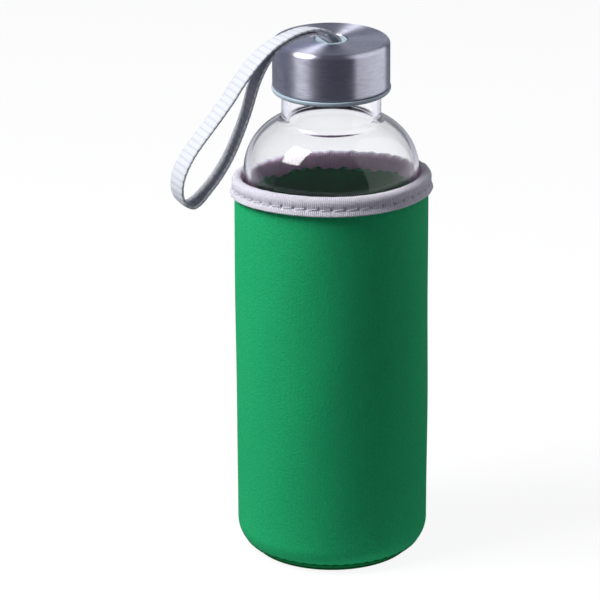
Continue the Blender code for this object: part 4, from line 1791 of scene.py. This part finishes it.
@dataclass
class Studio:
    """Camera, lights, floor and surroundings."""

    camera_place: tuple[float, float, float] = (-11.3 * MM, -1.400, 0.6242)
    camera_pitch: float = math.radians(20.788)
    camera_roll: float = math.radians(-0.29)
    lens: float = 252.05
    target: Vector = field(default_factory=lambda: Vector((0.0, 0.0, 0.12)))
    key: Panel = Panel(-71.6, 50.0, 1.0, (0.42, 0.56), 19.0, roll=18.0)
    fill: Panel = Panel(108.0, 20.0, 0.55, (0.86, 1.40), 0.66, mirrored=False)
    card: Panel = Panel(87.0, 6.0, 0.35, (0.60, 1.40), 0.90, gathered=False)
    floor_seen: Colour = (0.10, 0.10, 0.105)
    floor_gathered: Colour = (0.33, 0.33, 0.37)
    floor_mirrored: tuple[Colour, Colour] = ((0.08, 0.08, 0.10), (0.42, 0.43, 0.48))
    floor_glow: float = 0.91
    ambient: Colour = (0.035, 0.037, 0.055)
    world_mirrored: tuple[Colour, Colour] = ((0.11, 0.11, 0.14), (0.40, 0.42, 0.48))
    within_glass: tuple[Colour, Colour] = ((0.20, 0.20, 0.22), (0.66, 0.64, 0.70))

    def add_camera(self) -> None:
        """A long lens, level with the far edge of the floor and a little above the cap."""
        data = bpy.data.cameras.new("camera")
        data.lens = self.lens
        data.sensor_width = 36.0
        camera = bpy.data.objects.new("camera", data)
        camera.location = self.camera_place
        turn = Matrix.Rotation(math.pi / 2 - self.camera_pitch, 4, "X") @ Matrix.Rotation(self.camera_roll, 4, "Z")
        camera.rotation_euler = turn.to_euler()
        bpy.context.scene.collection.objects.link(camera)
        bpy.context.scene.camera = camera

    def add_panel(self, name: str, panel: Panel) -> bpy.types.Object:
        """Hang one panel so that it faces the bottle, and return its light.

        Args:
            name: The light's name.
            panel: Its place, size and strength.

        Returns:
            The light's object.
        """
        data = bpy.data.lights.new(name, "AREA")
        data.shape = "RECTANGLE"
        data.size, data.size_y = panel.size
        data.energy = panel.radiance * math.pi * panel.size[0] * panel.size[1]
        light = bpy.data.objects.new(name, data)
        a, e = math.radians(panel.azimuth), math.radians(panel.elevation)
        towards = Vector((math.sin(a) * math.cos(e), -math.cos(a) * math.cos(e), math.sin(e)))
        light.location = self.target + towards * panel.distance
        facing = towards.to_track_quat("Z", "Y").to_matrix().to_4x4()
        light.rotation_euler = (facing @ Matrix.Rotation(math.radians(panel.roll), 4, "Z")).to_euler()
        light.visible_camera = False
        light.visible_transmission = False
        light.visible_diffuse = panel.gathered
        light.visible_glossy = panel.mirrored
        bpy.context.scene.collection.objects.link(light)
        return light

    def soften_shadow(self, band: bpy.types.Object) -> None:
        """Light the band with a key of its own, so that it shades itself but not the bottle.

        Args:
            band: The strap's webbing.
        """
        for name, share, include in (("key_softbox", (True, True), False), ("strap_key", (True, False), True)):
            light = self.add_panel(name, self.key)
            for kind, used in zip(("receiver_collection", "blocker_collection"), share):
                if not used:
                    continue
                group = bpy.data.collections.new(f"{name}_{kind}")
                group.objects.link(band)
                group.collection_objects[0].light_linking.link_state = "INCLUDE" if include else "EXCLUDE"
                setattr(light.light_linking, kind, group)

    @staticmethod
    def seen_directly(build: ShaderTree, rays: bpy.types.Node) -> bpy.types.NodeSocket:
        """1 where the camera looks, straight or through glass, and 0 where light is only gathered.

        Args:
            build: The tree to add nodes to.
            rays: The Light Path node.

        Returns:
            The socket with the share.
        """
        clear = build.math("MAXIMUM", rays.outputs["Is Camera Ray"], rays.outputs["Is Transmission Ray"])
        bounces = build.math("ADD", rays.outputs["Diffuse Depth"], rays.outputs["Glossy Depth"])
        return build.math("MULTIPLY", clear, build.math("LESS_THAN", bounces, 0.5))

    @staticmethod
    def through_glass(build: ShaderTree, rays: bpy.types.Node) -> bpy.types.NodeSocket:
        """1 where something seen through glass gathers or mirrors its light, and 0 elsewhere.

        Args:
            build: The tree to add nodes to.
            rays: The Light Path node.

        Returns:
            The socket with the share.
        """
        bounces = build.math("ADD", rays.outputs["Diffuse Depth"], rays.outputs["Glossy Depth"])
        glazed = build.math("GREATER_THAN", rays.outputs["Transmission Depth"], 0.5)
        return build.math("MULTIPLY", glazed, build.math("GREATER_THAN", bounces, 0.5))

    @staticmethod
    def mirrored(build: ShaderTree, rays: bpy.types.Node) -> bpy.types.NodeSocket:
        """1 where a reflection looks, and 0 elsewhere."""
        shiny = build.math("GREATER_THAN", rays.outputs["Glossy Depth"], 0.5)
        return build.math("MULTIPLY", shiny, build.math("LESS_THAN", rays.outputs["Diffuse Depth"], 0.5))

    def add_floor(self) -> None:
        """A pale floor, which looks darker in reflections towards the front."""
        bm = bmesh.new()
        bmesh.ops.create_circle(bm, cap_ends=True, radius=3.0, segments=96)
        mesh = bpy.data.meshes.new("floor")
        bm.to_mesh(mesh)
        bm.free()
        floor = bpy.data.objects.new("floor", mesh)
        bpy.context.scene.collection.objects.link(floor)
        made = bpy.data.materials.new("pale_floor")
        made.use_nodes = True
        build = ShaderTree(made.node_tree)
        shader = made.node_tree.nodes["Principled BSDF"]
        rays = build.node("ShaderNodeLightPath")
        place = build.node("ShaderNodeTexCoord").outputs["Object"]
        split = build.node("ShaderNodeSeparateXYZ", {0: place})
        span = {0: split.outputs[1], 1: -0.1, 2: 0.35, 3: 0.0, 4: 1.0}
        behind = build.node("ShaderNodeMapRange", span).outputs[0]
        seen = build.mix(behind, *((*colour, 1.0) for colour in self.floor_mirrored))
        direct = self.seen_directly(build, rays)
        plain = build.mix(direct, (*self.floor_gathered, 1.0), (*self.floor_seen, 1.0))
        colour = build.mix(self.mirrored(build, rays), plain, seen)
        build.tree.links.new(colour, shader.inputs["Base Color"])
        shader.inputs["Roughness"].default_value = 0.9
        shader.inputs["Specular IOR Level"].default_value = 0.0
        shader.inputs["Emission Color"].default_value = (1.0, 1.0, 1.0, 1.0)
        # Painted light: the floor glows faintly for light gathered behind the glass, and for bounced rays it glows
        # in a pool within about 60 mm of the axis that brightens the sleeve's heel.
        lit = build.math("MULTIPLY", self.through_glass(build, rays), 0.25)
        reach = build.node("ShaderNodeVectorMath", {0: place}, operation="LENGTH").outputs["Value"]
        painted_heel_glow = build.node("ShaderNodeMapRange", {0: reach, 1: 0.035, 2: 0.06, 3: 0.4, 4: 0.0}).outputs[0]
        matt = build.math("GREATER_THAN", rays.outputs["Diffuse Depth"], 0.5)
        under = build.math("MULTIPLY", painted_heel_glow, matt)
        gathered = build.math("MAXIMUM", lit, under)
        glow = build.math("ADD", build.math("MULTIPLY", direct, self.floor_glow), gathered)
        build.tree.links.new(glow, shader.inputs["Emission Strength"])
        mesh.materials.append(made)

    def add_surroundings(self) -> None:
        """A plain white backdrop that lights the bottle only faintly."""
        world = bpy.data.worlds.new("studio")
        world.use_nodes = True
        bpy.context.scene.world = world
        build = ShaderTree(world.node_tree)
        backdrop = world.node_tree.nodes["Background"]
        rays = build.node("ShaderNodeLightPath")
        direct = self.seen_directly(build, rays)
        split = build.node("ShaderNodeSeparateXYZ", {0: build.node("ShaderNodeTexCoord").outputs["Generated"]})
        span = {0: split.outputs[1], 1: 0.72, 2: 0.98, 3: 0.0, 4: 1.0}
        behind = build.node("ShaderNodeMapRange", span).outputs[0]
        dim = build.mix(behind, *((*colour, 1.0) for colour in self.world_mirrored))
        around = build.mix(self.mirrored(build, rays), (*self.ambient, 1.0), dim)
        matt = build.math("GREATER_THAN", rays.outputs["Diffuse Depth"], 0.5)
        inside = build.mix(matt, *((*colour, 1.0) for colour in self.within_glass))
        ambient = build.mix(self.through_glass(build, rays), around, inside)
        colour = build.mix(direct, ambient, (1.0, 1.0, 1.0, 1.0))
        build.tree.links.new(colour, backdrop.inputs["Color"])

    def build(self) -> None:
        """Set everything up."""
        bpy.context.scene.view_settings.view_transform = "Standard"
        self.add_camera()
        self.add_panel("right_fill", self.fill)
        self.add_panel("right_card", self.card)
        self.add_floor()
        self.add_surroundings()


def main() -> None:
    """Build the studio, then each sub-assembly."""
    logging.basicConfig(level=logging.INFO, format="%(name)s %(message)s")
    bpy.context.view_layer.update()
    studio = Studio()
    studio.build()
    wardrobe = Wardrobe()
    wardrobe.fill(Effects())
    strap = Strap()
    studio.soften_shadow(CarryStrap(wardrobe, strap).build())
    ScrewCap(wardrobe, strap).build()
    GlassVessel(wardrobe).build()
    Sleeve(wardrobe, Rim()).build()


if __name__ == "__main__":
    main()
